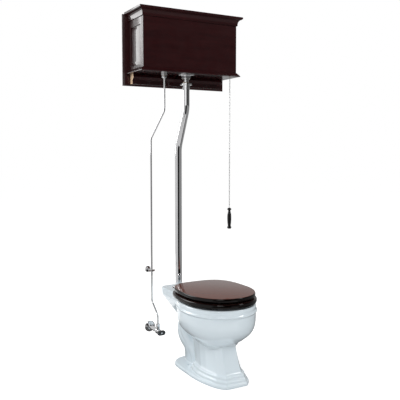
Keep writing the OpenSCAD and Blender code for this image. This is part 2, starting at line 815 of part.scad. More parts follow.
module hinge_nuts() color(plastic_colour)
    for (side = [-1, 1]) translate([side * hinge_pitch / 2, post_y, 0]) difference() {
        union() {
            rod(seat_washer_r, shelf_z - seat_washer_t - touch, shelf_z - touch);
            hex(seat_nut_af, shelf_z - seat_nut_drop, shelf_z - seat_washer_t - touch);
        }
        rod(bolt_r + run_fit, shelf_z - seat_nut_drop - past, shelf_z + past);
    }

// ---- Supply -------------------------------------------------------------

supply_r = supply_d / 2;
supply_y = flush_y;
supply_low_y = wall_y - supply_wall_gap;
valve_y = wall_y - valve_gap;
outlet_rise = 30;
outlet_nut_z = valve_z + outlet_rise;
supply_nut_drop = 22;
supply_nut_z = tank_z - supply_nut_drop;
// The pipe's ends stop on a step inside each nut
nut_step = 6;
supply_bend_top = tank_z - supply_drop;
supply_bend_mid = supply_bend_top - supply_slant_h;
supply_bend_end = valve_z + supply_rise;
supply_bend_low = supply_bend_end + supply_low_slant_h;
supply_route = [[valve_x, valve_y, outlet_nut_z - 2 * nut_step], [valve_x, valve_y, supply_bend_end],
    [supply_low_x, supply_low_y, supply_bend_low], [supply_low_x, supply_low_y, supply_bend_mid],
    [supply_x, supply_y, supply_bend_top], [supply_x, supply_y, supply_nut_z + nut_step]];

module supply_pipe() color(chrome_colour)
    swept_tube(supply_route, supply_r, supply_wall, supply_bend_r, 5, 12);

shank_r = 10;
supply_nut_af = 26;
supply_nut_h = 12;
supply_lip_h = 3;

module supply_top_nut() color(chrome_colour) translate([supply_x, supply_y, 0]) difference() {
    union() {
        hex(supply_nut_af, supply_nut_z, supply_nut_z + supply_nut_h);
        rod(shank_r - 1, supply_nut_z - supply_lip_h, supply_nut_z);
    }
    rod(supply_r + run_fit, supply_nut_z - supply_lip_h - past, supply_nut_z + nut_step + run_fit);
    rod(shank_r + run_fit, supply_nut_z + nut_step + run_fit, supply_nut_z + supply_nut_h + past);
}

clamp_h = 10;
clamp_t = 4;
clamp_lug = [10, 7, clamp_h];
rose_r = 17;
rose_h = 5;

// Two-part ring on a rod from a small rose on the wall
module supply_clamp() color(chrome_colour) translate([supply_low_x, 0, clamp_z]) {
    difference() {
        union() {
            translate([0, supply_low_y, -clamp_h / 2])
                cylinder(r = supply_r + clamp_t, h = clamp_h, $fn = fine_fn);
            translate([0, supply_low_y, 0]) rotate([-90, 0, 0])
                cylinder(r = clamp_t, h = supply_wall_gap - rose_h + past, $fn = fine_fn);
            for (side = [-1, 1])
                translate([side * (supply_r + clamp_lug.y) - clamp_lug.x / 2,
                    supply_low_y - clamp_lug.y / 2, -clamp_h / 2]) cube(clamp_lug);
        }
        translate([0, supply_low_y, -clamp_h / 2 - past])
            cylinder(r = supply_r + run_fit, h = clamp_h + 2 * past, $fn = fine_fn);
    }
    translate([0, wall_y - rose_h, 0]) rotate([-90, 0, 0])
        cylinder(r1 = rose_r - rose_h, r2 = rose_r, h = rose_h, $fn = round_fn);
}

// Stop valve: inlet from the wall, upright outlet, spindle to the front
valve_body_r = 14;
valve_front_l = 24;
valve_outlet_h = 27;
inlet_bore_r = 8;
inlet_bore_l = 40;
stem_r = 4;
stem_l = 42;
packing_reach = 30;
packing_y = valve_y - packing_reach;

module stop_valve_body() color(chrome_colour) translate([valve_x, 0, valve_z]) difference() {
    union() {
        translate([0, valve_y, 0]) sphere(r = valve_body_r + 2, $fn = round_fn);
        translate([0, valve_y - valve_front_l, 0]) rotate([-90, 0, 0])
            cylinder(r = valve_body_r - 3, h = valve_front_l, $fn = round_fn);
        translate([0, valve_y, 0]) rotate([-90, 0, 0])
            cylinder(r = valve_body_r - 2, h = valve_gap - 8, $fn = round_fn);
        translate([0, valve_y, 0])
            cylinder(r = valve_body_r - 3, h = valve_outlet_h, $fn = round_fn);
    }
    translate([0, wall_y - inlet_bore_l, 0]) rotate([-90, 0, 0])
        cylinder(r = inlet_bore_r, h = inlet_bore_l + past, $fn = round_fn);
    translate([0, valve_y, outlet_rise - 2 * nut_step - past])
        cylinder(r = supply_r + run_fit, h = 2 * nut_step, $fn = fine_fn);
    translate([0, valve_y - valve_front_l - past, 0]) rotate([-90, 0, 0])
        cylinder(r = stem_r + run_fit, h = valve_front_l - 2, $fn = fine_fn);
}

outlet_nut_af = 22;
outlet_nut_h = 8;
outlet_lip_h = 3;

module stop_valve_outlet_nut() color(chrome_colour)
    translate([valve_x, valve_y, 0]) difference() {
        union() {
            hex(outlet_nut_af, valve_z + valve_outlet_h + touch, outlet_nut_z + outlet_nut_h);
            rod(supply_r + 3, outlet_nut_z + outlet_nut_h,
                outlet_nut_z + outlet_nut_h + outlet_lip_h);
        }
        rod(supply_r + run_fit, valve_z + valve_outlet_h - past,
            outlet_nut_z + outlet_nut_h + outlet_lip_h + past);
    }

packing_af = 20;
packing_lip_h = 3;

module stop_valve_packing_nut() color(chrome_colour)
    translate([valve_x, packing_y, valve_z]) rotate([-90, 0, 0]) difference() {
        union() {
            hex(packing_af, 0, packing_reach - valve_front_l - touch);
            rod(packing_af * 3 / 8, -packing_lip_h, 0, fine_fn);
        }
        rod(stem_r + run_fit, -packing_lip_h - past, packing_reach - valve_front_l + past, fine_fn);
    }

valve_handle_y = packing_y - 20;
handle_end_r = 13;
handle_t = 9;
handle_hub_r = 8;
handle_hub_h = 5;
handle_web = 3;
screw_shank_r = 2;
screw_shank_l = 4.9;
screw_head_h = 1.9;
screw_slot = [10, 1, 2];

module stop_valve_stem() color(chrome_colour)
    translate([valve_x, valve_handle_y + handle_web, valve_z]) rotate([-90, 0, 0])
        cylinder(r = stem_r, h = stem_l, $fn = fine_fn);

// Oval handle with a hub behind it
module stop_valve_handle() color(rubber_colour)
    translate([valve_x, valve_handle_y, valve_z]) rotate([-90, 0, 0]) difference() {
        union() {
            for (s = [-1, 1]) translate([s * (valve_handle_l / 2 - handle_end_r), 0, 0])
                cylinder(r = handle_end_r, h = handle_t, $fn = round_fn);
            translate([-(valve_handle_l / 2 - handle_end_r), -handle_end_r, 0])
                cube([valve_handle_l - 2 * handle_end_r, 2 * handle_end_r, handle_t]);
            rod(handle_hub_r, handle_t, handle_t + handle_hub_h, fine_fn);
        }
        rod(stem_r + run_fit, handle_web - 0.2, handle_t + handle_hub_h + past, fine_fn);
        rod(screw_shank_r + 0.2, -past, handle_web, fine_fn);
    }

module stop_valve_screw() color(chrome_colour)
    translate([valve_x, valve_handle_y - screw_head_h - touch, valve_z]) rotate([-90, 0, 0])
        difference() {
            union() {
                rod(2 * screw_shank_r, 0, screw_head_h, fine_fn);
                rod(screw_shank_r, 0, screw_shank_l, fine_fn);
            }
            translate([-screw_slot.x / 2, -screw_slot.y / 2, -past]) cube(screw_slot);
        }

escutcheon_h = 9;

module escutcheon() color(chrome_colour)
    translate([valve_x, wall_y, valve_z]) rotate([90, 0, 0]) difference() {
        rotate_extrude($fn = round_fn) polygon([[0, 0], [escutcheon_d / 2, 0],
            [escutcheon_d / 2, 1.5], [escutcheon_d / 2 - 4, 5], [escutcheon_d / 2 - 12, 7],
            [valve_body_r + 2, escutcheon_h], [0, escutcheon_h]]);
        rod(valve_body_r - 2 + run_fit, -past, escutcheon_h + past);
    }

// ---- Tank ---------------------------------------------------------------

wall_board_z0 = tank_z - wall_board_drop;
wall_board_z1 = crown_top_z - 6;
wall_board_edge = 8;
bevel_low = 10;
bevel_top = 3;
wall_board_w = tank_w + 2 * wall_board_reach;
ledge_w = tank_w - 2 * ledge_inset;
screw_x = half_w - screw_inset;
screw_z0 = tank_z + 60;
screw_z1 = tank_top_z - 30;
screw_r = 3;
ledge_nose_r = 6;
ledge_cove_r = 8;
ledge_step = 16;

// Board on the wall, with a bevelled edge and four screw holes
module wall_board() color(wood_colour) difference() {
    hull() {
        translate([-wall_board_w / 2, wall_y - wall_board_edge, wall_board_z0])
            cube([wall_board_w, wall_board_edge, wall_board_z1 - wall_board_z0]);
        translate([-wall_board_w / 2 + bevel_side, board_y, wall_board_z0 + bevel_low])
            cube([wall_board_w - 2 * bevel_side, 1,
                wall_board_z1 - wall_board_z0 - bevel_low - bevel_top]);
    }
    screw_bores(board_y, wall_board_t);
}

// The four screws' bores through a board of thickness t in front of y
module screw_bores(y, t) {
    for (x = [-screw_x, screw_x], z = [screw_z0, screw_z1])
        translate([x, y - past, z]) rotate([-90, 0, 0]) rod(screw_r, 0, t + 2 * past, fine_fn);
}

// Ledge that carries the tank, with a rounded nose and a cove below it
module ledge() color(wood_colour)
    translate([-ledge_w / 2, 0, 0]) rotate([90, 0, 90]) linear_extrude(ledge_w)
        polygon(concat(
            [[board_y - touch, tank_z - touch], [board_y - touch, wall_board_z0 + 8],
             [board_y - ledge_d + ledge_step, wall_board_z0 + 8],
             [board_y - ledge_d + ledge_step, tank_z - 30]],
            [for (a = [0 : 15 : 90])
                [board_y - ledge_d + ledge_step - ledge_cove_r * sin(a),
                 tank_z - 22 - ledge_cove_r * cos(a)]],
            [for (a = [0 : 20 : 160])
                [board_y - ledge_d + ledge_nose_r * (1 - sin(a)),
                 tank_z - 15 - ledge_nose_r * cos(a)]],
            [[board_y - ledge_d + 8, tank_z - touch]]));

module tank_front() color(wood_colour)
    translate([-half_w, tank_front_y, tank_z]) cube([tank_w, board_t, carcass_h - touch]);

panel_groove = 6;
panel_bevel = 22;
panel_rail = 14;
panel_side = stile_w - 12;

// Side board: frame with a raised panel in it; side is -1 on the left
module tank_side(side) {
    y0 = tank_front_y + board_t + touch;
    depth = board_y - y0 - touch;
    rail_low = base_h + panel_rail;
    panel_h = tank_h - rail_low - stile_w - 8;
    panel_w = depth - 2 * panel_side - 10;
    mirror([side > 0 ? 1 : 0, 0, 0]) translate([-half_w, y0, tank_z]) {
        difference() {
            cube([board_t, depth, carcass_h - touch]);
            translate([-past, panel_side, rail_low]) cube([panel_groove, panel_w, panel_h]);
        }
        // Raised panel with bevelled edges
        translate([panel_groove - past, panel_side, rail_low]) hull() {
            translate([-1, 3, 3]) cube([1 + touch, panel_w - 6, panel_h - 6]);
            translate([-panel_raise + 1, panel_bevel, panel_bevel])
                cube([1, panel_w - 2 * panel_bevel, panel_h - 2 * panel_bevel]);
        }
    }
}

module tank_left_side() color(wood_colour) tank_side(-1);

module tank_right_side() color(wood_colour) tank_side(1);

back_y = board_y - board_t;

module tank_back() color(wood_colour) difference() {
    translate([-half_w + board_t + touch, back_y, floor_z + touch])
        cube([tank_w - 2 * board_t - 2 * touch, board_t - touch, carcass_h - board_t - 2 * touch]);
    screw_bores(back_y, board_t);
}

seat_shank_r = 21;
chain_y = tank_front_y + chain_back;
bush_r = 7;
bush_t = 2;

module tank_bottom() color(wood_colour) difference() {
    translate([-half_w + board_t + touch, tank_front_y + board_t + touch, tank_z])
        cube([tank_w - 2 * board_t - 2 * touch, tank_d - board_t - 2 * touch, board_t]);
    translate([0, flush_y, 0]) rod(seat_shank_r + loose_gap, tank_z - past, floor_z + past);
    translate([supply_x, supply_y, 0]) rod(shank_r + loose_gap, tank_z - past, floor_z + past);
    translate([chain_x, chain_y, 0]) rod(bush_r + run_fit, tank_z - past, floor_z + past);
}

// Base moulding: a bevel above a thin square edge, [out, up]
base_profile = [[0, 0], [base_out, 0], [base_out, 4], [base_out - 3, 8], [5, base_h - 3],
    [3, base_h], [0, base_h]];
// Crown: cove and ogee under a square top edge, [out, up]
function crown_curve() = concat([[0, 0], [5, 0], [5, 4]],
    [for (a = [0 : 15 : 90]) [5 + (crown_out - 12) * (1 - cos(a)), 4 + (crown_h - 18) * sin(a)]],
    [[crown_out - 4, crown_h - 12], [crown_out, crown_h - 9], [crown_out, crown_h - 1],
     [crown_out - 1, crown_h], [0, crown_h]]);

// Moulding along the front, mitred at both ends
module front_run(profile, z, out) {
    intersection() {
        translate([-half_w - out, tank_front_y - touch, z]) rotate([90, 0, 90])
            mirror([1, 0, 0]) linear_extrude(tank_w + 2 * out) polygon(profile);
        translate([0, 0, z - past]) linear_extrude(2 * crown_h)
            polygon([[-half_w - out, tank_front_y - out], [half_w + out, tank_front_y - out],
                [half_w - touch, tank_front_y], [-half_w + touch, tank_front_y]]);
    }
}

// Moulding along a side, mitred at its front end
module side_run(profile, z, out, side) {
    mirror([side > 0 ? 1 : 0, 0, 0]) intersection() {
        translate([-half_w - touch, board_y - touch, z]) rotate([90, 0, 0])
            mirror([1, 0, 0]) linear_extrude(tank_d + out) polygon(profile);
        translate([0, 0, z - past]) linear_extrude(2 * crown_h)
            polygon([[-half_w - out - touch, tank_front_y - out + touch],
                [-half_w - touch, tank_front_y], [-half_w - touch, board_y],
                [-half_w - out - touch, board_y]]);
    }
}

module base_front() color(wood_colour) front_run(base_profile, tank_z, base_out);

module base_left() color(wood_colour) side_run(base_profile, tank_z, base_out, -1);

module base_right() color(wood_colour) side_run(base_profile, tank_z, base_out, 1);

crown_z = crown_top_z - crown_h;

// Loose top board: it rests on the box, inside the crown
module tank_top() color(wood_colour)
    translate([-half_w + touch, tank_front_y + touch, crown_top_z - top_t])
        cube([tank_w - 2 * touch, tank_d - 4 * touch, top_t]);

module crown_front() color(wood_colour) front_run(crown_curve(), crown_z, crown_out);

module crown_left() color(wood_colour) side_run(crown_curve(), crown_z, crown_out, -1);

module crown_right() color(wood_colour) side_run(crown_curve(), crown_z, crown_out, 1);

// ---- Liner and flush works ----------------------------------------------

liner_slack = 2;
liner_x0 = -half_w + board_t + liner_rim + liner_slack;
liner_x1 = half_w - board_t - chain_way;
liner_y0 = tank_front_y + board_t + liner_rim + liner_slack;
liner_y1 = back_y - liner_rim - liner_slack;
liner_z1 = floor_z + liner_h;
liner_floor = floor_z + touch + liner_t;

module tank_liner() color(copper_colour) difference() {
    union() {
        translate([liner_x0, liner_y0, floor_z + touch])
            cube([liner_x1 - liner_x0, liner_y1 - liner_y0, liner_h - touch]);
        translate([liner_x0 - liner_rim, liner_y0 - liner_rim, liner_z1 - liner_t])
            cube([liner_x1 - liner_x0 + liner_rim, liner_y1 - liner_y0 + 2 * liner_rim, liner_t]);
    }
    translate([liner_x0 + liner_t, liner_y0 + liner_t, liner_floor])
        cube([liner_x1 - liner_x0 - 2 * liner_t, liner_y1 - liner_y0 - 2 * liner_t, liner_h]);
    translate([0, flush_y, 0]) rod(seat_shank_r + run_fit, floor_z - past, liner_floor + past);
    translate([supply_x, supply_y, 0]) rod(shank_r + run_fit, floor_z - past, liner_floor + past);
}

// Flush valve: seat with a threaded shank through the floor, and a side boss for the overflow
seat_rise = 20;
seat_top_z = liner_floor + seat_rise;
seat_flange_t = 5;
seat_land = 6;
arm_passage_h = 6;
overflow_x = 56;
overflow_boss_h = 18;
overflow_boss_t = 3;
overflow_t = 1.2;
seat_bore_r = valve_seat_d / 2 - seat_land - 3;
stopper_r = seat_bore_r + 5;
stopper_h = 44;
stopper_neck_r = 7;
stopper_neck_rise = 24;

module flush_valve_seat() color(brass_colour) difference() {
    union() {
        translate([0, flush_y, 0]) {
            rod(valve_seat_d / 2 + 4, liner_floor + touch, liner_floor + seat_flange_t);
            rod(valve_seat_d / 2 - 3, liner_floor + seat_flange_t, seat_top_z);
            rod(seat_shank_r, slip_nut_z + 1, liner_floor + 1);
        }
        translate([0, flush_y - overflow_d / 2, liner_floor + touch])
            cube([overflow_x, overflow_d, overflow_boss_h - 4]);
        translate([overflow_x, flush_y, 0])
            rod(overflow_d / 2 + overflow_boss_t, liner_floor + touch,
                liner_floor + overflow_boss_h);
    }
    translate([0, flush_y, 0]) {
        rod(tail_r + tail_t, slip_nut_z - past, liner_floor + seat_flange_t + past);
        rod(seat_bore_r, liner_floor + seat_flange_t, seat_top_z + past);
    }
    translate([overflow_x, flush_y, 0])
        rod(overflow_d / 2 + run_fit, liner_floor + 4, liner_floor + overflow_boss_h + past);
    // Passage from the overflow to the seat's bore
    translate([12, flush_y - 5, liner_floor + seat_flange_t + past])
        cube([overflow_x - 14, 10, arm_passage_h]);
}

module overflow_tube() color(brass_colour) translate([overflow_x, flush_y, 0])
    ring_between(overflow_d / 2, overflow_d / 2 - overflow_t, liner_floor + 4 + touch,
        liner_floor + overflow_h);

lift_travel = 2 * pivot_x * sin(lever_swing / 2);
guide_z = seat_top_z + stopper_h + lift_travel + 3;
guide_h = 10;
guide_arm = 6;

// Arm clamped on the overflow tube, with an eye that the lift rod slides in
module lift_rod_guide() color(brass_colour) difference() {
    union() {
        translate([overflow_x, flush_y, 0])
            rod(overflow_d / 2 + overflow_boss_t, guide_z, guide_z + guide_h);
        translate([0, flush_y, 0]) rod(lift_rod_d / 2 + 4, guide_z, guide_z + guide_h);
        translate([0, flush_y - guide_arm / 2, guide_z + (guide_h - guide_arm) / 2])
            cube([overflow_x, guide_arm, guide_arm]);
    }
    translate([overflow_x, flush_y, 0])
        rod(overflow_d / 2 + run_fit, guide_z - past, guide_z + guide_h + past);
    translate([0, flush_y, 0])
        rod(lift_rod_d / 2 + touch, guide_z - past, guide_z + guide_h + past);
}

// Lever: pivot over the liner, inner arm to the lift rod, outer arm to the chain
pivot_z = liner_z1 + pivot_up;
arm_t = 6;
hub_r = pivot_d / 2 + 5;
rest_drop = lever_swing / 2;
lift_tip_z = pivot_z - pivot_x * sin(rest_drop);
chain_tip_z = pivot_z + chain_arm * sin(rest_drop);
eye_gap = 3;
head_r = lift_rod_d / 2 + 5;
head_h = 3;
hook_r = 1.5;
lift_eye_r = lift_rod_d / 2 + eye_gap;
chain_eye_r = hook_r + eye_gap;

// Head and collar hold the rod in the lever's eye
module lift_rod() color(brass_colour) translate([0, flush_y, 0]) {
    rod(lift_rod_d / 2, seat_top_z + stopper_neck_rise, lift_tip_z + arm_t / 2 + eye_gap + 1);
    rod(head_r, lift_tip_z - arm_t / 2 - eye_gap - head_h, lift_tip_z - arm_t / 2 - eye_gap);
    rod(head_r, lift_tip_z + arm_t / 2 + eye_gap, lift_tip_z + arm_t / 2 + eye_gap + head_h);
}

// Rubber ball, hollow below, that rests in the seat
module stopper() color(rubber_colour) translate([0, flush_y, 0]) difference() {
    union() {
        translate([0, 0, seat_top_z + 12]) sphere(r = stopper_r - 5, $fn = round_fn);
        translate([0, 0, seat_top_z + 0.2])
            cylinder(r1 = seat_bore_r + 2, r2 = stopper_r, h = 8, $fn = round_fn);
        rod(stopper_neck_r, seat_top_z + stopper_neck_rise, seat_top_z + stopper_h);
    }
    rod(lift_rod_d / 2 + run_fit, seat_top_z + stopper_neck_rise - touch,
        seat_top_z + stopper_h + past);
}

module lever_bracket() color(brass_colour) {
    plate_y0 = liner_y0 - liner_rim;
    plate_y1 = liner_y1 + liner_rim;
    plate_z = liner_z1 + touch;
    difference() {
        union() {
            translate([pivot_x - plate_w / 2, plate_y0, plate_z])
                cube([plate_w, plate_y1 - plate_y0, ear_t]);
            for (y = ear_ys) translate([pivot_x, y, 0]) {
                translate([-ear_r, 0, plate_z]) cube([2 * ear_r, ear_t, pivot_z - plate_z]);
                translate([0, 0, pivot_z]) rotate([-90, 0, 0])
                    cylinder(r = ear_r, h = ear_t, $fn = fine_fn);
            }
        }
        translate([pivot_x, plate_y0 - past, pivot_z]) rotate([-90, 0, 0])
            cylinder(r = pivot_d / 2 + run_fit, h = plate_y1 - plate_y0 + 2 * past, $fn = fine_fn);
    }
}

plate_w = 22;
ear_r = 8;
ear_t = 4;
ear_gap = 1;
hub_over = 3;
ear_ys = [chain_y - hub_over - ear_gap - ear_t, flush_y + 2 * hub_over + ear_gap];
pin_head_out = 2.5;
pin_head_h = 2;
pin_y0 = ear_ys[0] - pin_head_h - 0.2;
pin_y1 = ear_ys[1] + ear_t + 3;

module pivot_pin() color(brass_colour) translate([pivot_x, pin_y0, pivot_z])
    rotate([-90, 0, 0]) {
        cylinder(r = pivot_d / 2, h = pin_y1 - pin_y0, $fn = fine_fn);
        cylinder(r = pivot_d / 2 + pin_head_out, h = pin_head_h, $fn = fine_fn);
    }

// One cast piece: hub on the pin, an arm to each side, each ending in an eye
module flush_lever() color(brass_colour) difference() {
    union() {
        translate([pivot_x, chain_y - hub_over, pivot_z]) rotate([-90, 0, 0])
            cylinder(r = hub_r, h = flush_y - chain_y + 3 * hub_over, $fn = fine_fn);
        arm([pivot_x, flush_y, pivot_z], [0, flush_y, lift_tip_z], lift_eye_r);
        arm([pivot_x, chain_y, pivot_z], [chain_x, chain_y, chain_tip_z], chain_eye_r);
    }
    translate([pivot_x, chain_y - hub_over - past, pivot_z]) rotate([-90, 0, 0])
        cylinder(r = pivot_d / 2 + run_fit, h = flush_y - chain_y + 4 * hub_over, $fn = fine_fn);
    translate([0, flush_y, 0]) rod(lift_eye_r, lift_tip_z - 3 * arm_t, lift_tip_z + 3 * arm_t);
    translate([chain_x, chain_y, 0])
        rod(chain_eye_r, chain_tip_z - 3 * arm_t, chain_tip_z + 3 * arm_t);
}

module arm(from, to, eye_bore_r) {
    eye_r = eye_bore_r + 3;
    d = to - from;
    hull() {
        translate(from) rotate([90, 0, 0])
            cylinder(r = arm_t / 2 + 2, h = arm_t, center = true, $fn = fine_fn);
        translate(to - unit(d) * eye_r) rotate([90, 0, 0])
            cylinder(r = arm_t / 2, h = arm_t, center = true, $fn = fine_fn);
    }
    translate(to) cylinder(r = eye_r, h = arm_t, center = true, $fn = fine_fn);
}

// Float valve
float_head_z = liner_floor + float_head_h;
float_axis_rise = 14;
float_axis_out = 22;
float_axis_z = float_head_z + float_axis_rise;
float_axis_x = supply_x + float_axis_out;
float_pin_r = 2.5;
float_pin_over = 1;
float_ear_y = 5;
float_ear_t = 4;
float_ear_r = 6;
float_slot_h = 16;
column_r = 9;
column_flange_r = 18;
column_flange_h = 5;
head_block_r = 15;
head_block_h = 20;
water_bore_r = 4;
plunger_r = 6;
shank_rise = 7;
locknut_af = 30;
locknut_h = 9;

module float_valve_body() color(brass_colour) difference() {
    translate([supply_x, supply_y, 0]) {
        rod(shank_r, supply_nut_z + shank_rise, liner_floor + past);
        rod(column_flange_r, liner_floor + touch, liner_floor + column_flange_h);
        rod(column_r, liner_floor + column_flange_h, float_head_z);
        rod(head_block_r, float_head_z, float_head_z + head_block_h);
        // Ears that carry the float rod's pivot
        for (y = [-float_ear_y - float_ear_t, float_ear_y]) {
            translate([0, y, float_axis_z - float_ear_r])
                cube([float_axis_out, float_ear_t, 2 * float_ear_r]);
            translate([float_axis_out, y, float_axis_z]) rotate([-90, 0, 0])
                cylinder(r = float_ear_r, h = float_ear_t, $fn = fine_fn);
        }
    }
    translate([supply_x, supply_y, 0]) {
        rod(water_bore_r, supply_nut_z, float_head_z + past);
        rod(plunger_r + run_fit, float_head_z + past, float_head_z + head_block_h + past);
        translate([plunger_r, -float_ear_y, float_axis_z - float_slot_h / 2])
            cube([2 * plunger_r, 2 * float_ear_y, float_slot_h]);
    }
    translate([float_axis_x, supply_y - head_block_r, float_axis_z]) rotate([-90, 0, 0])
        cylinder(r = float_pin_r + run_fit, h = 2 * head_block_r, $fn = fine_fn);
}

module float_valve_locknut() color(brass_colour) translate([supply_x, supply_y, 0])
    difference() {
        hex(locknut_af, tank_z - locknut_h, tank_z - touch);
        rod(shank_r + run_fit, tank_z - locknut_h - past, tank_z + past);
    }

module float_valve_plunger() color(brass_colour) translate([supply_x, supply_y, 0]) {
    rod(plunger_r, plunger_z, plunger_z + plunger_h);
    rod(plunger_stem_r, plunger_z + plunger_h, plunger_z + plunger_h + plunger_stem_l);
}

plunger_z = float_head_z + 4;
plunger_h = 8;
plunger_stem_r = 3.5;
plunger_stem_l = 14;

float_gap = 7;
float_x = 108;
float_y = liner_y1 - liner_t - float_d / 2 - float_gap;
float_drop = 56;

// Bent rod with its pivot barrel; it hangs at its lowest place, the tank being empty
float_wire_r = 2.5;
float_knee_out = 46;
float_knee_drop = 8;
float_knee_r = 24;
float_neck_l = 14;
float_neck_t = 8;
float_centre = [float_x, float_y, float_axis_z - float_drop];
float_knee = [float_axis_x + float_knee_out, float_y, float_axis_z - float_knee_drop];
float_dir = unit(float_centre - float_knee);

module float_rod() color(brass_colour) {
    translate([float_axis_x, supply_y, float_axis_z]) {
        rotate([90, 0, 0]) {
            cylinder(r = float_ear_r, h = 2 * (float_ear_y - 2 * touch), center = true,
                $fn = fine_fn);
            cylinder(r = float_pin_r, h = 2 * (float_ear_y + float_ear_t + float_pin_over),
                center = true, $fn = fine_fn);
        }
        translate([0, -float_neck_t / 2, -float_neck_t / 2])
            cube([float_neck_l, float_neck_t, float_neck_t]);
    }
    swept_bar(route([[float_axis_x + float_pin_r * 2, supply_y, float_axis_z], float_knee,
        float_centre - float_dir * (float_d / 2 - float_socket)], float_knee_r, 4),
        float_wire_r, 12);
}

// Hollow ball with a boss that takes the rod's end
float_socket = 6;
float_boss_h = 8;
float_boss_r = 5;

module float_ball() color(copper_colour) difference() {
    union() {
        translate(float_centre) sphere(r = float_d / 2, $fn = round_fn);
        bar_between(float_centre - float_dir * (float_d / 2 + float_boss_h), float_centre,
            float_boss_r);
    }
    bar_between(float_centre - float_dir * (float_d / 2 + float_boss_h + past),
        float_centre - float_dir * (float_d / 2 - float_socket - touch),
        float_wire_r + run_fit);
}

// Small tube from the float valve's head, over and down into the overflow
refill_r = 3;
refill_rise = 46;
refill_depth = 10;
refill_x = supply_x - 4;
refill_y = supply_y - 10;
refill_end_y = flush_y - 7;
refill_z = float_head_z + refill_rise;
refill_route = [[refill_x, refill_y, float_head_z + head_block_h + touch],
    [refill_x, refill_y, refill_z], [overflow_x, refill_end_y, refill_z],
    [overflow_x, refill_end_y, liner_floor + overflow_h - refill_depth]];

module refill_tube() color(plastic_colour)
    swept_bar(route(refill_route, 4 * refill_r, 4), refill_r, 8);

module chain_bush() color(brass_colour) translate([chain_x, chain_y, 0]) difference() {
    union() {
        rod(bush_r, tank_z - 2 * touch, floor_z + 2 * touch);
        rod(bush_r + bush_t, floor_z + touch, floor_z + bush_t);
    }
    rod(bush_r - bush_t, tank_z - past, floor_z + bush_t + past);
}

// ---- Chain and handle ---------------------------------------------------

link_play = (link_w - link_wire) / 2;
link_pitch = link_l - link_play;
hook_drop = 12;
hook_ring_z = chain_tip_z - arm_t / 2 - hook_drop;
hook_head_r = head_r - 2;
hook_head_h = 2;
hook_gap = 3;

// One link standing upright, its inside l long and w wide
module link(l, w, wire) {
    r = w / 2 + wire / 2;
    for (end = [0, 1]) mirror([0, 0, end]) translate([0, 0, l / 2 - w / 2])
        rotate([90, 0, 0]) rotate_extrude(angle = 180, $fn = fine_fn)
            translate([r, 0]) circle(d = wire, $fn = 16);
    for (side = [-1, 1]) translate([side * r, 0, -(l / 2 - w / 2)])
        cylinder(d = wire, h = l - w, $fn = 16);
}

// Headed pin through the lever's eye, with a closed ring below for the first link
module chain_hook() color(brass_colour) translate([chain_x, chain_y, 0]) {
    for (side = [0, 1]) translate([0, 0, chain_tip_z]) mirror([0, 0, side])
        rod(hook_head_r, arm_t / 2 + hook_gap, arm_t / 2 + hook_gap + hook_head_h);
    rod(hook_r, hook_ring_z + link_l / 2, chain_tip_z + arm_t / 2 + hook_gap + past);
    translate([0, 0, hook_ring_z]) rotate([0, 0, 90]) link(link_l, link_w, link_wire);
}

module pull_chain() color(chrome_colour)
    for (i = [1 : link_n]) translate([chain_x, chain_y, hook_ring_z - link_pitch * i])
        rotate([0, 0, i % 2 * 90 + 90]) link(link_l, link_w, link_wire);

eye_ring_z = hook_ring_z - link_pitch * (link_n + 1);
eye_shank_r = 1.8;
eye_shank_l = 9;
eye_clear = 2;
eye_shank_z = eye_ring_z - link_l / 2 - eye_shank_l;

// Screw eye in the top of the handle
module handle_eye() color(chrome_colour) translate([chain_x, chain_y, 0]) {
    translate([0, 0, eye_ring_z]) rotate([0, 0, (link_n + 1) % 2 * 90 + 90])
        link(link_l, link_w, link_wire);
    rod(eye_shank_r, eye_shank_z, eye_ring_z - link_l / 2);
}

handle_top_z = eye_ring_z - link_l / 2 - eye_clear;
handle_collar_h = 11;
handle_neck_h = 15;
handle_neck_end = 22;

// Turned handle: knob, belly and knob
module pull_handle() color(rubber_colour)
    translate([chain_x, chain_y, handle_top_z - handle_l]) difference() {
        rotate_extrude($fn = round_fn) polygon([[0, 0], [handle_d * 0.30, 0],
            [handle_d * 0.44, 3], [handle_d * 0.48, 8], [handle_d * 0.40, 13],
            [handle_d * 0.34, 18], [handle_d * 0.42, handle_l * 0.3],
            [handle_d * 0.46, handle_l * 0.5], [handle_d * 0.42, handle_l * 0.68],
            [handle_d * 0.30, handle_l - handle_neck_end],
            [handle_d * 0.26, handle_l - handle_neck_h],
            [handle_d * 0.42, handle_l - handle_collar_h], [handle_d * 0.46, handle_l - 6],
            [handle_d * 0.30, handle_l - 1], [handle_d * 0.16, handle_l], [0, handle_l]]);
        rod(eye_shank_r + run_fit, eye_shank_z - handle_top_z + handle_l - touch,
            handle_l + past);
    }

bowl();
bowl_pedestal();
inlet_gasket();
seat_ring();
seat_ring_bumpers();
seat_ring_leaves();
seat_lid();
seat_lid_bumpers();
seat_lid_leaves();
hinge_posts();
hinge_rod();
hinge_nuts();
flush_pipe();
flush_pipe_collar();
tank_flange();
tank_slip_nut();
supply_pipe();
supply_top_nut();
supply_clamp();
stop_valve_body();
stop_valve_outlet_nut();
stop_valve_packing_nut();
stop_valve_stem();
stop_valve_handle();
stop_valve_screw();
escutcheon();
wall_board();
ledge();
tank_front();
tank_left_side();
tank_right_side();
tank_back();
tank_bottom();
base_front();
base_left();
base_right();
tank_top();
crown_front();
crown_left();
crown_right();
tank_liner();
flush_valve_seat();
overflow_tube();
lift_rod_guide();
lift_rod();
stopper();
float_valve_body();
float_valve_locknut();
float_valve_plunger();
float_rod();
float_ball();
refill_tube();
lever_bracket();
pivot_pin();
flush_lever();
chain_bush();
chain_hook();
pull_chain();
pull_handle();
handle_eye();
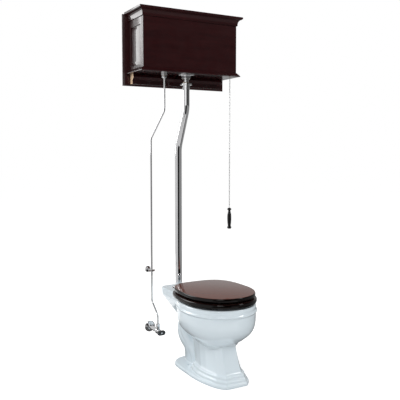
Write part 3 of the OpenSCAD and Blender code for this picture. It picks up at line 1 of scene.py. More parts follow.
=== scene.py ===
"""High tank pull chain toilet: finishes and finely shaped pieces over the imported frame.

Lengths are millimetres, as on a maker's drawing, and become metres where a mesh is made.
"""

import json
import math

import bmesh
import bpy
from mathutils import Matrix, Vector

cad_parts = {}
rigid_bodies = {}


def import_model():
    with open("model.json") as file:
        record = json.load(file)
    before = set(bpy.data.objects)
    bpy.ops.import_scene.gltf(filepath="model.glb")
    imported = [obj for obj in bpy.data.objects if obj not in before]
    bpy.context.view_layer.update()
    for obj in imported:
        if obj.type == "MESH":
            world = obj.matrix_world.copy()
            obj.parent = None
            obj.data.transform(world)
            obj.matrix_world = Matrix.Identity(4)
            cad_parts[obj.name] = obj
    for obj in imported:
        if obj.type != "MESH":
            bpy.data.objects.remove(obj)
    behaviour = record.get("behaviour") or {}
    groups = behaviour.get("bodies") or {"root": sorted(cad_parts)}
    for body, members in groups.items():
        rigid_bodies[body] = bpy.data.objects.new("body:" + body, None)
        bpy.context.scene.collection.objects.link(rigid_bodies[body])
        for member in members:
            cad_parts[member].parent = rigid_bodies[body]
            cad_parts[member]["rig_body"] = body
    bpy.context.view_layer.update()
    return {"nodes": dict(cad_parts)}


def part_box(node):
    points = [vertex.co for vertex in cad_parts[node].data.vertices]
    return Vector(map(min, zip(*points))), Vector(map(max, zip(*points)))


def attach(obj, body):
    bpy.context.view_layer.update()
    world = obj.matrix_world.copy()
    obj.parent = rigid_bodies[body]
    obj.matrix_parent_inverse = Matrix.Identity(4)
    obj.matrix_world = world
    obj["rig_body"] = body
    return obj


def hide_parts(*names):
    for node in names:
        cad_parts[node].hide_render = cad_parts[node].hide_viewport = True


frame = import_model()

MM = 0.001


# ---- Camera -------------------------------------------------------------------------------------

CAMERA_AT = (-1.5399, -2.7401, 1.1325)
CAMERA_YAW = 0.5105
CAMERA_PITCH = -0.0770
IMAGE_PX = 400
FOCAL_PX = 599.9
SENSOR = 36


def make_camera():
    """A camera where the photograph was taken from, looking a little down and to the right."""
    data = bpy.data.cameras.new("camera")
    data.sensor_width = SENSOR
    data.lens = FOCAL_PX / IMAGE_PX * SENSOR
    data.clip_end = 100
    camera = bpy.data.objects.new("camera", data)
    camera.location = CAMERA_AT
    camera.rotation_euler = (math.pi / 2 + CAMERA_PITCH, 0, -CAMERA_YAW)
    bpy.context.scene.collection.objects.link(camera)
    bpy.context.scene.camera = camera
    bpy.context.scene.view_settings.view_transform = "Standard"


# ---- Finishes -----------------------------------------------------------------------------------

class Value:
    """A number socket of a finish; an expression on values adds its Math nodes."""

    def __init__(self, finish, socket):
        self.finish = finish
        self.socket = socket

    def math(self, operation, *terms):
        return self.finish.add("ShaderNodeMath", {"operation": operation}, terms)

    def __add__(self, other):
        return self.math("ADD", self, other)

    def __radd__(self, other):
        return self.math("ADD", other, self)

    def __mul__(self, other):
        return self.math("MULTIPLY", self, other)

    def __rmul__(self, other):
        return self.math("MULTIPLY", other, self)


class Finish:
    """A material or a world that is put together node by node."""

    def __init__(self, holder):
        self.holder = holder
        holder.use_nodes = True
        self.tree = holder.node_tree
        self.tree.nodes.clear()

    def add(self, kind, settings=None, inputs=(), out=0):
        """Adds a node: first its settings, then the values or links of its sockets."""
        node = self.tree.nodes.new(kind)
        for name, setting in (settings or {}).items():
            if name == "stops":
                ramp = node.color_ramp
                while len(ramp.elements) < len(setting):
                    ramp.elements.new(1)
                for stop, (place, colour) in zip(ramp.elements, setting):
                    stop.position = place
                    stop.color = (*colour, 1)
            else:
                setattr(node, name, setting)
        pairs = inputs.items() if isinstance(inputs, dict) else enumerate(inputs)
        for key, value in pairs:
            if isinstance(value, Value):
                self.tree.links.new(value.socket, node.inputs[key])
            elif isinstance(value, tuple) and len(node.inputs[key].default_value) > len(value):
                node.inputs[key].default_value = (*value, 1)
            else:
                node.inputs[key].default_value = value
        return Value(self, node.outputs[out]) if node.outputs else None

    def end(self, kind, shader):
        self.add(kind, None, {"Surface": shader})
        return self.holder

    def place(self, stretch):
        """Places on the piece in metres, each axis multiplied by its stretch."""
        spot = self.add("ShaderNodeTexCoord", out="Object")
        return self.add("ShaderNodeVectorMath", {"operation": "MULTIPLY"}, (spot, stretch))

    def noise(self, spot, scale, detail=3.0, rough=0.5):
        return self.add("ShaderNodeTexNoise", None,
                        {"Vector": spot, "Scale": scale, "Detail": detail, "Roughness": rough})

    def ramp(self, value, stops):
        return self.add("ShaderNodeValToRGB", {"stops": stops}, (value,))

    def blend(self, share, one, other):
        return self.add("ShaderNodeMix", {"data_type": "RGBA"}, {0: share, 6: one, 7: other}, 2)

    def fit(self, value, low, high, to_low, to_high):
        return self.add("ShaderNodeMapRange", None, (value, low, high, to_low, to_high))

    def bump(self, height, strength, distance):
        return self.add("ShaderNodeBump", None,
                        {"Height": height, "Strength": strength, "Distance": distance * MM})


def new_finish(name):
    return Finish(bpy.data.materials.new(name))


def cherry(name, stretch, dark=(0.0170, 0.0030, 0.0036), warm=(0.0310, 0.0056, 0.0062),
           painted_top_light=None, sheen=1.2):
    """Dark cherry under gloss lacquer; the grain runs along the axis with the least stretch.

    What faces up takes a lighter painted colour where one is given: painted light, standing in for
    light and reflection falling on the top. Sheen is the wood's own gloss under the lacquer.
    """
    f = new_finish(name)
    spot = f.place(stretch)
    figure = f.noise(spot, 6.0, 4.0, 0.6)
    streak = f.noise(spot, 40.0, 3.0, 0.55)
    pores = f.noise(spot, 260.0, 2.0, 0.5)
    colour = f.blend(f.fit(figure * 0.4 + streak * 0.6, 0.3, 0.7, 0.0, 1.0), dark, warm)
    # Painted light: faces that point up blend towards a lighter colour that stands in for light and
    # reflection falling on the top.
    if painted_top_light:
        facing = f.add("ShaderNodeTexCoord", out="Normal")
        painted_light_share = f.fit(f.add("ShaderNodeSeparateXYZ", None, (facing,), "Z"), 0.75, 0.98, 0.0, 1.0)
        colour = f.blend(painted_light_share, colour, f.blend(streak, painted_top_light, tuple(1.2 * c for c in painted_top_light)))
    haze = f.noise(f.place((1, 1, 1)), 22.0, 3.0)
    shader = f.add("ShaderNodeBsdfPrincipled", None, {
        "Base Color": colour, "Roughness": f.fit(haze, 0.3, 0.7, 0.30, 0.42), "IOR": sheen,
        "Coat Weight": 1.0, "Coat Roughness": 0.05, "Coat IOR": 1.38,
        "Normal": f.bump(pores * 0.5 + streak * 0.5, 0.05, 0.10)})
    return f.end("ShaderNodeOutputMaterial", shader)


def china():
    """Vitreous china: a bluish white body under a clear, slightly wavy glaze."""
    f = new_finish("vitreous china")
    spot = f.place((1, 1, 1))
    cloud = f.noise(spot, 5.0, 2.0)
    ripple = f.noise(spot, 34.0, 2.0)
    colour = f.blend(f.fit(cloud, 0.35, 0.65, 0, 1), (0.70, 0.785, 0.835), (0.725, 0.81, 0.86))
    shader = f.add("ShaderNodeBsdfPrincipled", None, {
        "Base Color": colour, "Roughness": f.fit(ripple, 0.3, 0.7, 0.10, 0.16), "IOR": 1.5,
        "Coat Weight": 0.6, "Coat Roughness": 0.03, "Coat IOR": 1.5,
        "Normal": f.bump(ripple, 0.05, 0.5)})
    return f.end("ShaderNodeOutputMaterial", shader)


def metal(name, colour, low, high):
    """Plated or cast metal, its polish a little uneven from handling."""
    f = new_finish(name)
    spot = f.place((1, 1, 1))
    wipe = f.noise(spot, 60.0, 3.0)
    cloud = f.noise(spot, 9.0, 2.0)
    tone = f.blend(f.fit(cloud, 0.3, 0.7, 0, 1), colour, tuple(0.93 * c for c in colour))
    shader = f.add("ShaderNodeBsdfPrincipled", None, {
        "Base Color": tone, "Metallic": 1.0, "Roughness": f.fit(wipe, 0.3, 0.7, low, high),
        "Normal": f.bump(wipe, 0.03, 0.1)})
    return f.end("ShaderNodeOutputMaterial", shader)


def moulded(name, colour, low, high, bump=0.12, coat=0.0):
    """Moulded rubber or plastic: even colour, with a fine pebbled skin."""
    f = new_finish(name)
    spot = f.place((1, 1, 1))
    pebble = f.noise(spot, 420.0, 2.0)
    cloud = f.noise(spot, 12.0, 3.0)
    tone = f.blend(f.fit(cloud, 0.3, 0.7, 0, 1), colour, tuple(0.82 * c for c in colour))
    shader = f.add("ShaderNodeBsdfPrincipled", None, {
        "Base Color": tone, "Roughness": f.fit(cloud, 0.3, 0.7, low, high),
        "Coat Weight": coat, "Coat Roughness": 0.06,
        "Normal": f.bump(pebble, bump, 0.15)})
    return f.end("ShaderNodeOutputMaterial", shader)


def bare_wood():
    """Sawn end grain without stain."""
    f = new_finish("bare end grain")
    spot = f.place((1, 1, 1))
    rings = f.noise(spot, 90.0, 3.0)
    pores = f.noise(spot, 700.0, 2.0)
    colour = f.ramp(rings, [(0.3, (0.78, 0.52, 0.32)), (0.7, (0.88, 0.68, 0.48))])
    shader = f.add("ShaderNodeBsdfPrincipled", None, {
        "Base Color": colour, "Roughness": f.fit(pores, 0.3, 0.7, 0.6, 0.8),
        "Normal": f.bump(pores, 0.3, 0.2)})
    return f.end("ShaderNodeOutputMaterial", shader)


ALONG_X = (0.16, 1.0, 1.0)
ALONG_Y = (1.0, 0.16, 1.0)
ALONG_Z = (1.0, 1.0, 0.16)

CHERRY_X = cherry("cherry along x", ALONG_X)
CHERRY_Y = cherry("cherry along y", ALONG_Y)
CHERRY_Z = cherry("cherry along z", ALONG_Z)
# The seat's and ring's third colours are painted light: a lighter top, for the light and reflection
# falling on the lid and on the ring.
CHERRY_SEAT = cherry("cherry of the seat", ALONG_X, (0.0012, 0.0004, 0.0004),
                     (0.0022, 0.0007, 0.0007), (0.122, 0.046, 0.034), 1.02)
CHERRY_RING = cherry("cherry of the ring", ALONG_X, (0.0012, 0.0004, 0.0004),
                     (0.0022, 0.0007, 0.0007), (0.020, 0.008, 0.007), 1.02)
END_GRAIN = bare_wood()
CHINA = china()
CHROME = metal("chrome", (0.90, 0.90, 0.91), 0.045, 0.09)
BRASS = metal("brass", (0.72, 0.50, 0.22), 0.22, 0.36)
BLACK_RUBBER = moulded("black rubber", (0.014, 0.014, 0.015), 0.45, 0.6)
WHITE_RUBBER = moulded("white rubber", (0.70, 0.74, 0.74), 0.35, 0.5)
LINER = moulded("tank liner plastic", (0.62, 0.62, 0.58), 0.45, 0.6)
FLOAT = moulded("float plastic", (0.03, 0.03, 0.034), 0.3, 0.45)
WHITE_PLASTIC = moulded("white plastic", (0.78, 0.78, 0.76), 0.3, 0.42)
BLACK_HANDLE = moulded("black handle", (0.010, 0.010, 0.011), 0.18, 0.30, 0.05, coat=0.5)
EBONISED = cherry("ebonised wood", ALONG_Z, (0.004, 0.004, 0.0042), (0.012, 0.011, 0.011))


# ---- Mesh tools ---------------------------------------------------------------------------------

def mix(a, b, t):
    return a + (b - a) * t


def spline(rows, steps):
    """Rows of numbers with smooth in-between rows."""
    n = len(rows)
    fine = []
    for i in range(n - 1):
        a, b, c, d = (rows[min(max(i + k, 0), n - 1)] for k in (-1, 0, 1, 2))
        for s in range(steps):
            t = s / steps
            fine.append([0.5 * (2 * q + (r - p) * t + (2 * p - 5 * q + 4 * r - w) * t * t
                                + (3 * q - p - 3 * r + w) * t ** 3)
                         for p, q, r, w in zip(a, b, c, d)])
    fine.append(list(rows[-1]))
    return fine


def loft(rings, looped=False):
    """Points and faces of a skin over rings; its ends are closed unless it runs in a loop."""
    n = len(rings[0])
    m = len(rings)
    points = [p for ring in rings for p in ring]
    faces = []
    for i in range(m if looped else m - 1):
        low = i * n
        high = (i + 1) % m * n
        for j in range(n):
            k = (j + 1) % n
            faces.append((low + j, low + k, high + k, high + j))
    if not looped:
        faces.append(tuple(range(n))[::-1])
        faces.append(tuple(range((m - 1) * n, m * n)))
    return points, faces


def lathe(profile, segments):
    """Solid turned about Z from (radius, height) points, with flat ends."""
    rings = []
    for radius, height in profile:
        rings.append([(radius * math.cos(2 * math.pi * k / segments),
                       radius * math.sin(2 * math.pi * k / segments), height)
                      for k in range(segments)])
    return loft(rings)


def round_section(centre, side, other, radius, count):
    """Points on a circle about a centre, in the plane of two directions."""
    return [tuple(centre + radius * (math.cos(2 * math.pi * j / count) * side
                                     + math.sin(2 * math.pi * j / count) * other))
            for j in range(count)]


def mesh_of(name, shape):
    """A mesh in metres, its faces turned outwards."""
    points, faces = shape
    mesh = bpy.data.meshes.new(name)
    mesh.from_pydata([[c * MM for c in p] for p in points], [], faces)
    bm = bmesh.new()
    bm.from_mesh(mesh)
    bmesh.ops.recalc_face_normals(bm, faces=bm.faces)
    bm.to_mesh(mesh)
    bm.free()
    return mesh


def new_object(name, mesh):
    piece = bpy.data.objects.new(name, mesh)
    bpy.context.scene.collection.objects.link(piece)
    return piece


def settled(piece):
    """Replaces an object's mesh by what its modifiers make of it."""
    graph = bpy.context.evaluated_depsgraph_get()
    mesh = bpy.data.meshes.new_from_object(piece.evaluated_get(graph))
    piece.modifiers.clear()
    piece.data = mesh


def combined(base, others, operation):
    """Adds or cuts away objects, which are then deleted."""
    for other in others:
        change = base.modifiers.new(operation, "BOOLEAN")
        change.operation = operation
        change.solver = "MANIFOLD"
        change.object = other
    settled(base)
    for other in others:
        bpy.data.objects.remove(other)


def smooth_shaded(mesh, angle=None):
    mesh.shade_smooth()
    if angle is not None:
        mesh.set_sharp_from_angle(angle=math.radians(angle))


def dressed(piece, finish, body, nodes):
    """Gives a piece its finish, the body it rides on and the nodes it stands for."""
    piece.data.materials.clear()
    piece.data.materials.append(finish)
    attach(piece, body)
    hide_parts(*nodes)


def body_of(node):
    return frame["nodes"][node]["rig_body"]


def shaped(node, shape, finish, angle=50):
    """A finely shaped piece that stands for one node."""
    piece = new_object(node + "_fine", mesh_of(node, shape))
    smooth_shaded(piece.data, angle)
    dressed(piece, finish, body_of(node), [node])


def eased(node, width, finish):
    """A copy of a node with its sharp edges rounded over."""
    mesh = frame["nodes"][node].data.copy()
    mesh.name = node + "_eased"
    bm = bmesh.new()
    bm.from_mesh(mesh)
    bmesh.ops.remove_doubles(bm, verts=bm.verts, dist=0.01 * MM)
    bmesh.ops.dissolve_limit(bm, angle_limit=math.radians(1.0), verts=bm.verts, edges=bm.edges)
    bm.to_mesh(mesh)
    bm.free()
    piece = new_object(node + "_eased", mesh)
    for polygon in mesh.polygons:
        polygon.use_smooth = True
    bevel = piece.modifiers.new("eased", "BEVEL")
    bevel.limit_method = "ANGLE"
    bevel.angle_limit = math.radians(32)
    bevel.width = width * MM
    bevel.segments = 2
    shading = piece.modifiers.new("flat faces stay flat", "WEIGHTED_NORMAL")
    shading.mode = "FACE_AREA"
    shading.weight = 100
    settled(piece)
    dressed(piece, finish, body_of(node), [node])
    return piece


# ---- Bowl ---------------------------------------------------------------------------------------

WALL_Y = 305
RIM_Z = 388
RIM_FRONT = 384
RIM_HALF = 185
DECK_BACK = 292
DECK_HALF = 107
DECK_CORNER = 46
RIM_BAND = 32
RIM_BEAD = 5
CHINA_WALL = 14
RIM_LAND = 46
BASIN_DEPTH = 276
NECK_HALF = 92
NECK_Z = 186
FOOT_HALF = 129
FOOT_FRONT = 362
FOOT_BACK = 138
NOSE_HALF = 59
NOSE_SHRINK = 0.42
TIER_H = 18
TIER_INSET = 9.5
BOLT_X = 76.2
BOLT_HOLE_R = 5.9
OUTLET_R = 30
OUTLET_H = 20
TRAP_R = 53
WEIR_R = 60
WEIR_Z = 232
OUTLET_BEND_R = 70
HORN_Y = 258
SOCKET_R = 24.1
SOCKET_H = 30
INLET_WAY_R = 13
INLET_WAY_DROP = 44
SEAT_BOLT_X = 70
SEAT_BOLT_Y = 106
SEAT_BOLT_R = 6.5
DECK_SHELF = 22
NUT_RECESS_R = 14
NUT_RECESS_DROP = 190
BASIN_BACK = 18
WIDE_Y = -RIM_FRONT + RIM_HALF * 1.12
BEAD_Z = RIM_Z - RIM_BAND
NECK_FRONT = 280
NECK_BACK = -6
NECK_INSET = FOOT_HALF - NECK_HALF + 12
SUMP_HALF = 54
SUMP_FRONT = 186
SUMP_MIDDLE = 122
VOXEL = 3.0
EGG_POINTS = 192
COLUMN_STEPS = 24


def egg(front, back, wide, half, e_front, e_back):
    """Egg outline, widest at wide; e sets how square each end is."""
    outline = []
    for i in range(EGG_POINTS):
        a = 2 * math.pi * i / EGG_POINTS
        e = e_back if math.sin(a) > 0 else e_front
        reach = back - wide if math.sin(a) > 0 else wide - front
        x, y = (math.copysign(abs(v) ** (2 / e), v) for v in (math.cos(a), math.sin(a)))
        outline.append((half * x, wide + reach * y))
    return outline


def at_height(outline, z):
    return [(x, y, z) for x, y in outline]


def bowl_skin():
    """Outer skin: height, inset from the rim and share of the way to the neck."""
    swell = [(NECK_Z - 12, 0, 1.04), (NECK_Z, 0, 1.0), (NECK_Z + 10, 0, 0.86),
             (NECK_Z + 25, 0, 0.65), (NECK_Z + 46, 0, 0.38), (NECK_Z + 64, 0, 0.21),
             (NECK_Z + 84, 0, 0.10), (NECK_Z + 112, 0, 0.03), (BEAD_Z - 22, 1, 0),
             (BEAD_Z - 9, 3, 0), (BEAD_Z - 4, -RIM_BEAD, 0), (BEAD_Z + 2, -RIM_BEAD, 0),
             (BEAD_Z + 7, 1, 0), (RIM_Z - 14, 0, 0), (RIM_Z - 5, 1.5, 0), (RIM_Z - 1.5, 4, 0),
             (RIM_Z, 8, 0)]
    rings = []
    for z, inset, t in spline(swell, 4):
        half = mix(RIM_HALF - inset, NECK_HALF, t)
        front = mix(-RIM_FRONT + inset, -NECK_FRONT, t)
        back = mix(BASIN_BACK + 40, NECK_BACK, t)
        middle = mix(WIDE_Y, -NECK_FRONT + NECK_HALF, t)
        rings.append(at_height(egg(front, back, middle, half, mix(2, 2.5, t), 2.5), z))
    return loft(rings)


def basin():
    """Inside of the bowl: height and share of the way to the sump."""
    low = RIM_Z - BASIN_DEPTH
    levels = [(low, 1.08), (low + 8, 1), (low + 54, 0.93), (low + 80, 0.66), (low + 104, 0.36),
              (low + 128, 0.18), (low + 158, 0.08), (low + 188, 0.04), (BEAD_Z - 8, 0.02),
              (RIM_Z - 14, 0), (RIM_Z - 4, -0.01), (RIM_Z + 2, -0.04)]
    rings = []
    for z, t in spline(levels, 4):
        half = mix(RIM_HALF - RIM_LAND, SUMP_HALF, t)
        front = mix(-RIM_FRONT + RIM_LAND, -SUMP_FRONT, t)
        back = mix(BASIN_BACK, NECK_BACK - 56, t)
        rings.append(at_height(egg(front, back, mix(WIDE_Y, -SUMP_MIDDLE, t), half, 2, 2.3), z))
    return loft(rings)


def mirrored(side):
    """A closed outline from the points of its right side, listed from front to back."""
    return side + [(-x, y) for x, y in reversed(side) if x > 0.01]


def deck():
    """Wide deck to behind the inlet, drawn in downwards and forwards to the trapway."""
    corner = [(DECK_HALF + DECK_CORNER * (math.cos(a) - 1), DECK_BACK + DECK_CORNER * (math.sin(a) - 1))
              for a in (math.radians(9 * k) for k in range(11))]
    outline = mirrored([(DECK_HALF, BASIN_BACK - 60)] + corner)
    levels = [(RIM_Z - 172, 0.56, 160), (RIM_Z - 148, 0.47, 136), (RIM_Z - 120, 0.36, 106),
              (RIM_Z - 96, 0.25, 76), (RIM_Z - 76, 0.16, 50), (RIM_Z - 56, 0.08, 24),
              (RIM_Z - SOCKET_H - 8, 0.02, 3), (RIM_Z - 12, 0, 0), (RIM_Z - 5, 0, 0),
              (RIM_Z - 1, 0.012, 1), (RIM_Z, 0.03, 4)]
    rings = []
    for z, pinch, slide in spline(levels, 3):
        rings.append([(x * (1 - pinch),
                       y - slide * max(0, y - BASIN_BACK) / (DECK_BACK - BASIN_BACK), z)
                      for x, y in outline])
    return loft(rings)


def foot_side(inset, back):
    """Right side of the foot's outline: a flat nose, then one easy curve to the back."""
    half = FOOT_HALF - inset
    front = FOOT_FRONT - inset
    nose = NOSE_HALF - inset * NOSE_SHRINK
    curve = [(nose, -front), (mix(nose, half, 0.5), -front + 44), (half - 10, -front + 128),
             (half, -front + 210), (half, -front + 290), (half * 0.97, back - 96),
             (half * 0.86, back - 52), (half * 0.66, back - 22), (half * 0.42, back - 6),
             (half * 0.16, back), (0, back)]
    return [tuple(p) for p in spline(curve, 5)]


def foot():
    """Lowest step of the foot, its top edge rounded."""
    steps = [(0, 1), (2, 0), (TIER_H - 6, 0), (TIER_H - 2, 1.5), (TIER_H, 6)]
    return loft([at_height(mirrored(foot_side(i, FOOT_BACK - i)), z) for z, i in steps])


def pedestal_outline(inset, back):
    """Outline of the upper steps and the column: flat nose, drawn-in sides, flat back."""
    half = FOOT_HALF - inset
    front = FOOT_FRONT - inset
    nose = NOSE_HALF - inset * NOSE_SHRINK
    reach = front + back
    return mirrored([(nose, -front), (mix(nose, half, 0.5), -front + reach * 0.14),
                     (half - 10, -front + reach * 0.42), (half - 8, -front + reach * 0.60),
                     (half - 16, -front + reach * 0.78), (half * 0.72, -front + reach * 0.93),
                     (half * 0.4, back)])


def pedestal():
    """Two upper steps and the hollow-sided column."""
    rings = []
    for k in (1, 2):
        inset = k * TIER_INSET
        back = -20 - 8 * k
        for z, more in ((k * TIER_H - (3 if k == 1 else 0), 0), ((k + 1) * TIER_H - 6, 0),
                        ((k + 1) * TIER_H - 2, 1.5), ((k + 1) * TIER_H, 7)):
            rings.append(at_height(pedestal_outline(inset + more, back - more), z))
    for i in range(COLUMN_STEPS + 1):
        t = i / COLUMN_STEPS
        inset = mix(3 * TIER_INSET + 3, NECK_INSET, t ** 0.62)
        push = (FOOT_FRONT - NECK_INSET - NECK_FRONT + 1) * t ** 0.8
        rings.append([(x, y + push, mix(3 * TIER_H + 3, NECK_Z + 8, t))
                      for x, y in pedestal_outline(inset, -44 + 18 * t)])
    return loft(rings)


def pedestal_hollow():
    """Open inside of the pedestal, from the floor up to under the basin."""
    low = 3 * TIER_INSET + CHINA_WALL + 4
    top = [(x, y + 14) for x, y in pedestal_outline(NECK_INSET + CHINA_WALL - 4, -58)]
    return loft([at_height(pedestal_outline(low, -58), -1),
                 at_height(pedestal_outline(low + 2, -58), 3 * TIER_H),
                 at_height(top, RIM_Z - BASIN_DEPTH - CHINA_WALL)])


LEG_LEVELS = [(0, 40, 56, 92), (54, 46, 54, 90), (90, 66, 53, 80), (120, 80, 52, 84),
              (150, 118, 52, 66), (180, 138, 50, 58), (206, 146, 44, 46)]


def leg_ring(level, inset, z):
    """Level of the back leg: height, middle, half width and half length."""
    return [((level[2] - inset) * math.cos(a), level[1] + (level[3] - inset) * math.sin(a), z)
            for a in (2 * math.pi * k / 64 for k in range(64))]


def back_leg():
    return loft([leg_ring(level, 0, level[0]) for level in spline(LEG_LEVELS, 4)])


def leg_hollow():
    """Open inside of the back leg."""
    low, middle, top = LEG_LEVELS[:3]
    return loft([leg_ring(low, CHINA_WALL, -1), leg_ring(middle, CHINA_WALL, middle[0]),
                 leg_ring(top, CHINA_WALL, top[0] + 6)])


def trap_rings(radius, count):
    """Rings along the trapway, from the outlet over the weir and down to the sump."""
    bend = OUTLET_BEND_R
    weir = (FOOT_BACK + 72 - TRAP_R - WEIR_R, WEIR_Z - WEIR_R)
    apart = (weir[0] - bend, weir[1] - OUTLET_H)
    lean = math.asin((WEIR_R + bend) / math.hypot(*apart)) + math.atan2(*apart)
    way = [(0, 0, 0)]
    for i in range(9):
        b = lean * i / 8
        way.append((bend - bend * math.cos(b), OUTLET_H + bend * math.sin(b), b))
    for i in range(25):
        a = mix(-lean, math.radians(128), i / 24)
        way.append((weir[0] + WEIR_R * math.cos(a), weir[1] + WEIR_R * math.sin(a), -a))
    tail = [way[-1], (-8, 172, math.radians(-116)), (-50, 150, math.radians(-106)),
            (-96, 142, math.radians(-98))]
    way += [tuple(p) for p in spline(tail, 4)[1:]]
    rings = []
    for y, z, lean_here in way:
        along = Vector((0, math.sin(lean_here), math.cos(lean_here)))
        side = Vector((1, 0, 0))
        rings.append(round_section(Vector((0, y, z)), side, along.cross(side), radius, count))
    return rings


def round_bar(radius, start, end):
    """Straight bar between two points."""
    start, end = Vector(start), Vector(end)
    along = (end - start).normalized()
    side = along.orthogonal().normalized()
    other = along.cross(side)
    return loft([round_section(centre, side, other, radius, 48) for centre in (start, end)])


def make_bowl():
    """The bowl in one casting: its forms run into each other with soft glazed corners."""
    def form(name, shape):
        return new_object(name, mesh_of(name, shape))

    base = form("pedestal", pedestal())
    combined(base, [form("foot", foot()), form("leg", back_leg())], "UNION")
    combined(base, [form("hollow", pedestal_hollow()), form("leg hollow", leg_hollow())],
             "DIFFERENCE")
    combined(base, [form("skin", bowl_skin()), form("deck", deck()),
                    form("trap", loft(trap_rings(TRAP_R, 48)))], "UNION")
    cuts = [form("basin", basin()), form("passage", loft(trap_rings(OUTLET_R - 1.5, 32)[1:])),
            form("outlet", round_bar(OUTLET_R, (0, 0, -1), (0, 0, OUTLET_H))),
            form("socket", round_bar(SOCKET_R, (0, HORN_Y, RIM_Z - SOCKET_H),
                                     (0, HORN_Y, RIM_Z + 1))),
            form("way", round_bar(INLET_WAY_R, (0, HORN_Y, RIM_Z - SOCKET_H + 8),
                                  (0, BASIN_BACK - 20, RIM_Z - INLET_WAY_DROP)))]
    for side in (-1, 1):
        x = side * BOLT_X
        cuts.append(form("bolt", round_bar(BOLT_HOLE_R, (x, 0, -1), (x, 0, TIER_H + 1))))
        x = side * SEAT_BOLT_X
        cuts.append(form("seat bolt", round_bar(SEAT_BOLT_R, (x, SEAT_BOLT_Y, RIM_Z - DECK_SHELF - 1),
                                                (x, SEAT_BOLT_Y, RIM_Z + 1))))
        cuts.append(form("recess", round_bar(NUT_RECESS_R, (x, SEAT_BOLT_Y, RIM_Z - NUT_RECESS_DROP),
                                             (x, SEAT_BOLT_Y, RIM_Z - DECK_SHELF))))
    combined(base, cuts, "DIFFERENCE")
    base.name = "bowl_glazed"
    cast = base.modifiers.new("cast", "REMESH")
    cast.mode = "VOXEL"
    cast.voxel_size = VOXEL * MM
    glaze = base.modifiers.new("glaze", "SMOOTH")
    glaze.factor = 0.5
    glaze.iterations = 4
    settled(base)
    smooth_shaded(base.data)
    dressed(base, CHINA, "fixture", ["bowl", "bowl_pedestal"])


# ---- Seat ---------------------------------------------------------------------------------------

BUMPER_H = 8
RING_T = 22
LID_T = 20
LID_INSET = 7
RING_Z = RIM_Z + BUMPER_H
LID_Z = RING_Z + RING_T + BUMPER_H
SEAT_BACK = 78
RING_L = 462
RING_FRONT = SEAT_BACK - RING_L
RING_HALF = 188
RING_LAND = 82
RING_WIDE = RING_FRONT + RING_HALF * 1.14
HOLE_FRONT = RING_FRONT + RING_LAND - 8
HOLE_BACK = SEAT_BACK - 118
EDGE_IN = 6
EDGE_STEPS = 10


def round_edge():
    """Round edge of a board: inset and share of the thickness, from the bottom up."""
    edge = []
    for k in range(EDGE_STEPS + 1):
        a = math.pi * k / EDGE_STEPS
        edge.append((EDGE_IN * (1 - math.sin(a) ** 0.8), 0.5 - 0.5 * math.cos(a)))
    return edge


def seat_outline(inset):
    """Outline of ring and lid: a round front, squarer at the hinges."""
    return egg(RING_FRONT + inset, SEAT_BACK - inset, RING_WIDE, RING_HALF - inset, 2.1, 3.2)


def hole_outline(inset):
    """Outline of the ring's open middle."""
    return egg(HOLE_FRONT + inset, HOLE_BACK - inset, RING_WIDE - 4,
               RING_HALF - RING_LAND - inset, 2.1, 2.2)


def make_ring():
    rings = [at_height(seat_outline(i), RING_Z + RING_T * s) for i, s in round_edge()]
    rings += [at_height(hole_outline(-i), RING_Z + RING_T * s) for i, s in reversed(round_edge())]
    shaped("seat_ring", loft(rings, looped=True), CHERRY_RING)


def make_lid():
    rings = [at_height(seat_outline(LID_INSET + i), LID_Z + LID_T * s) for i, s in round_edge()]
    shaped("seat_lid", loft(rings), CHERRY_SEAT)


# ---- Pipes --------------------------------------------------------------------------------------

BEND_STEPS = 14
TANK_Z = 1556
TANK_PIPES_Y = 165
COLLAR_Z = TANK_Z - 48
SUPPLY_NUT_Z = TANK_Z - 22
INTO_FITTING = 6
FLUSH_R = 19
FLUSH_WALL = 1.5
FLUSH_BEND_R = 120
FLUSH_BEND_TOP = TANK_Z - 184
FLUSH_BEND_LOW = FLUSH_BEND_TOP - 204
SUPPLY_R = 5
SUPPLY_WALL = 1
SUPPLY_BEND_R = 40
SUPPLY_X = -130
SUPPLY_LOW_X = -170
SUPPLY_LOW_Y = WALL_Y - 52
SUPPLY_BEND_TOP = TANK_Z - 194
SUPPLY_BEND_MID = SUPPLY_BEND_TOP - 148
VALVE_X = -160
VALVE_Y = WALL_Y - 106
VALVE_Z = 160
VALVE_OUTLET_Z = VALVE_Z + 18
VALVE_BEND_Z = VALVE_Z + 88
SUPPLY_BEND_LOW = VALVE_BEND_Z + 70


def route(points, radius):
    """Places and directions along straight runs joined by round bends."""
    points = [Vector(p) for p in points]
    way = [(points[0], (points[1] - points[0]).normalized())]
    for a, p, b in zip(points, points[1:], points[2:]):
        before, after = (p - a).normalized(), (b - p).normalized()
        turn = before.angle(after)
        centre = p + (after - before).normalized() * radius / math.cos(turn / 2)
        start = p - before * radius * math.tan(turn / 2)
        inward = (centre - start).normalized()
        for k in range(BEND_STEPS + 1):
            f = turn * k / BEND_STEPS
            way.append((centre - inward * radius * math.cos(f) + before * radius * math.sin(f),
                        inward * math.sin(f) + before * math.cos(f)))
    way.append((points[-1], (points[-1] - points[-2]).normalized()))
    return way


def tube(points, radius, wall, bend_radius, count):
    """Tube along a route, with a bore."""
    outer, inner = [], []
    for place, along in route(points, bend_radius):
        side = Vector((0, 1, 0)).cross(along).normalized()
        other = along.cross(side)
        outer.append(round_section(place, side, other, radius, count))
        inner.append(round_section(place, side, other, radius - wall, count))
    return loft(outer + inner[::-1], looped=True)


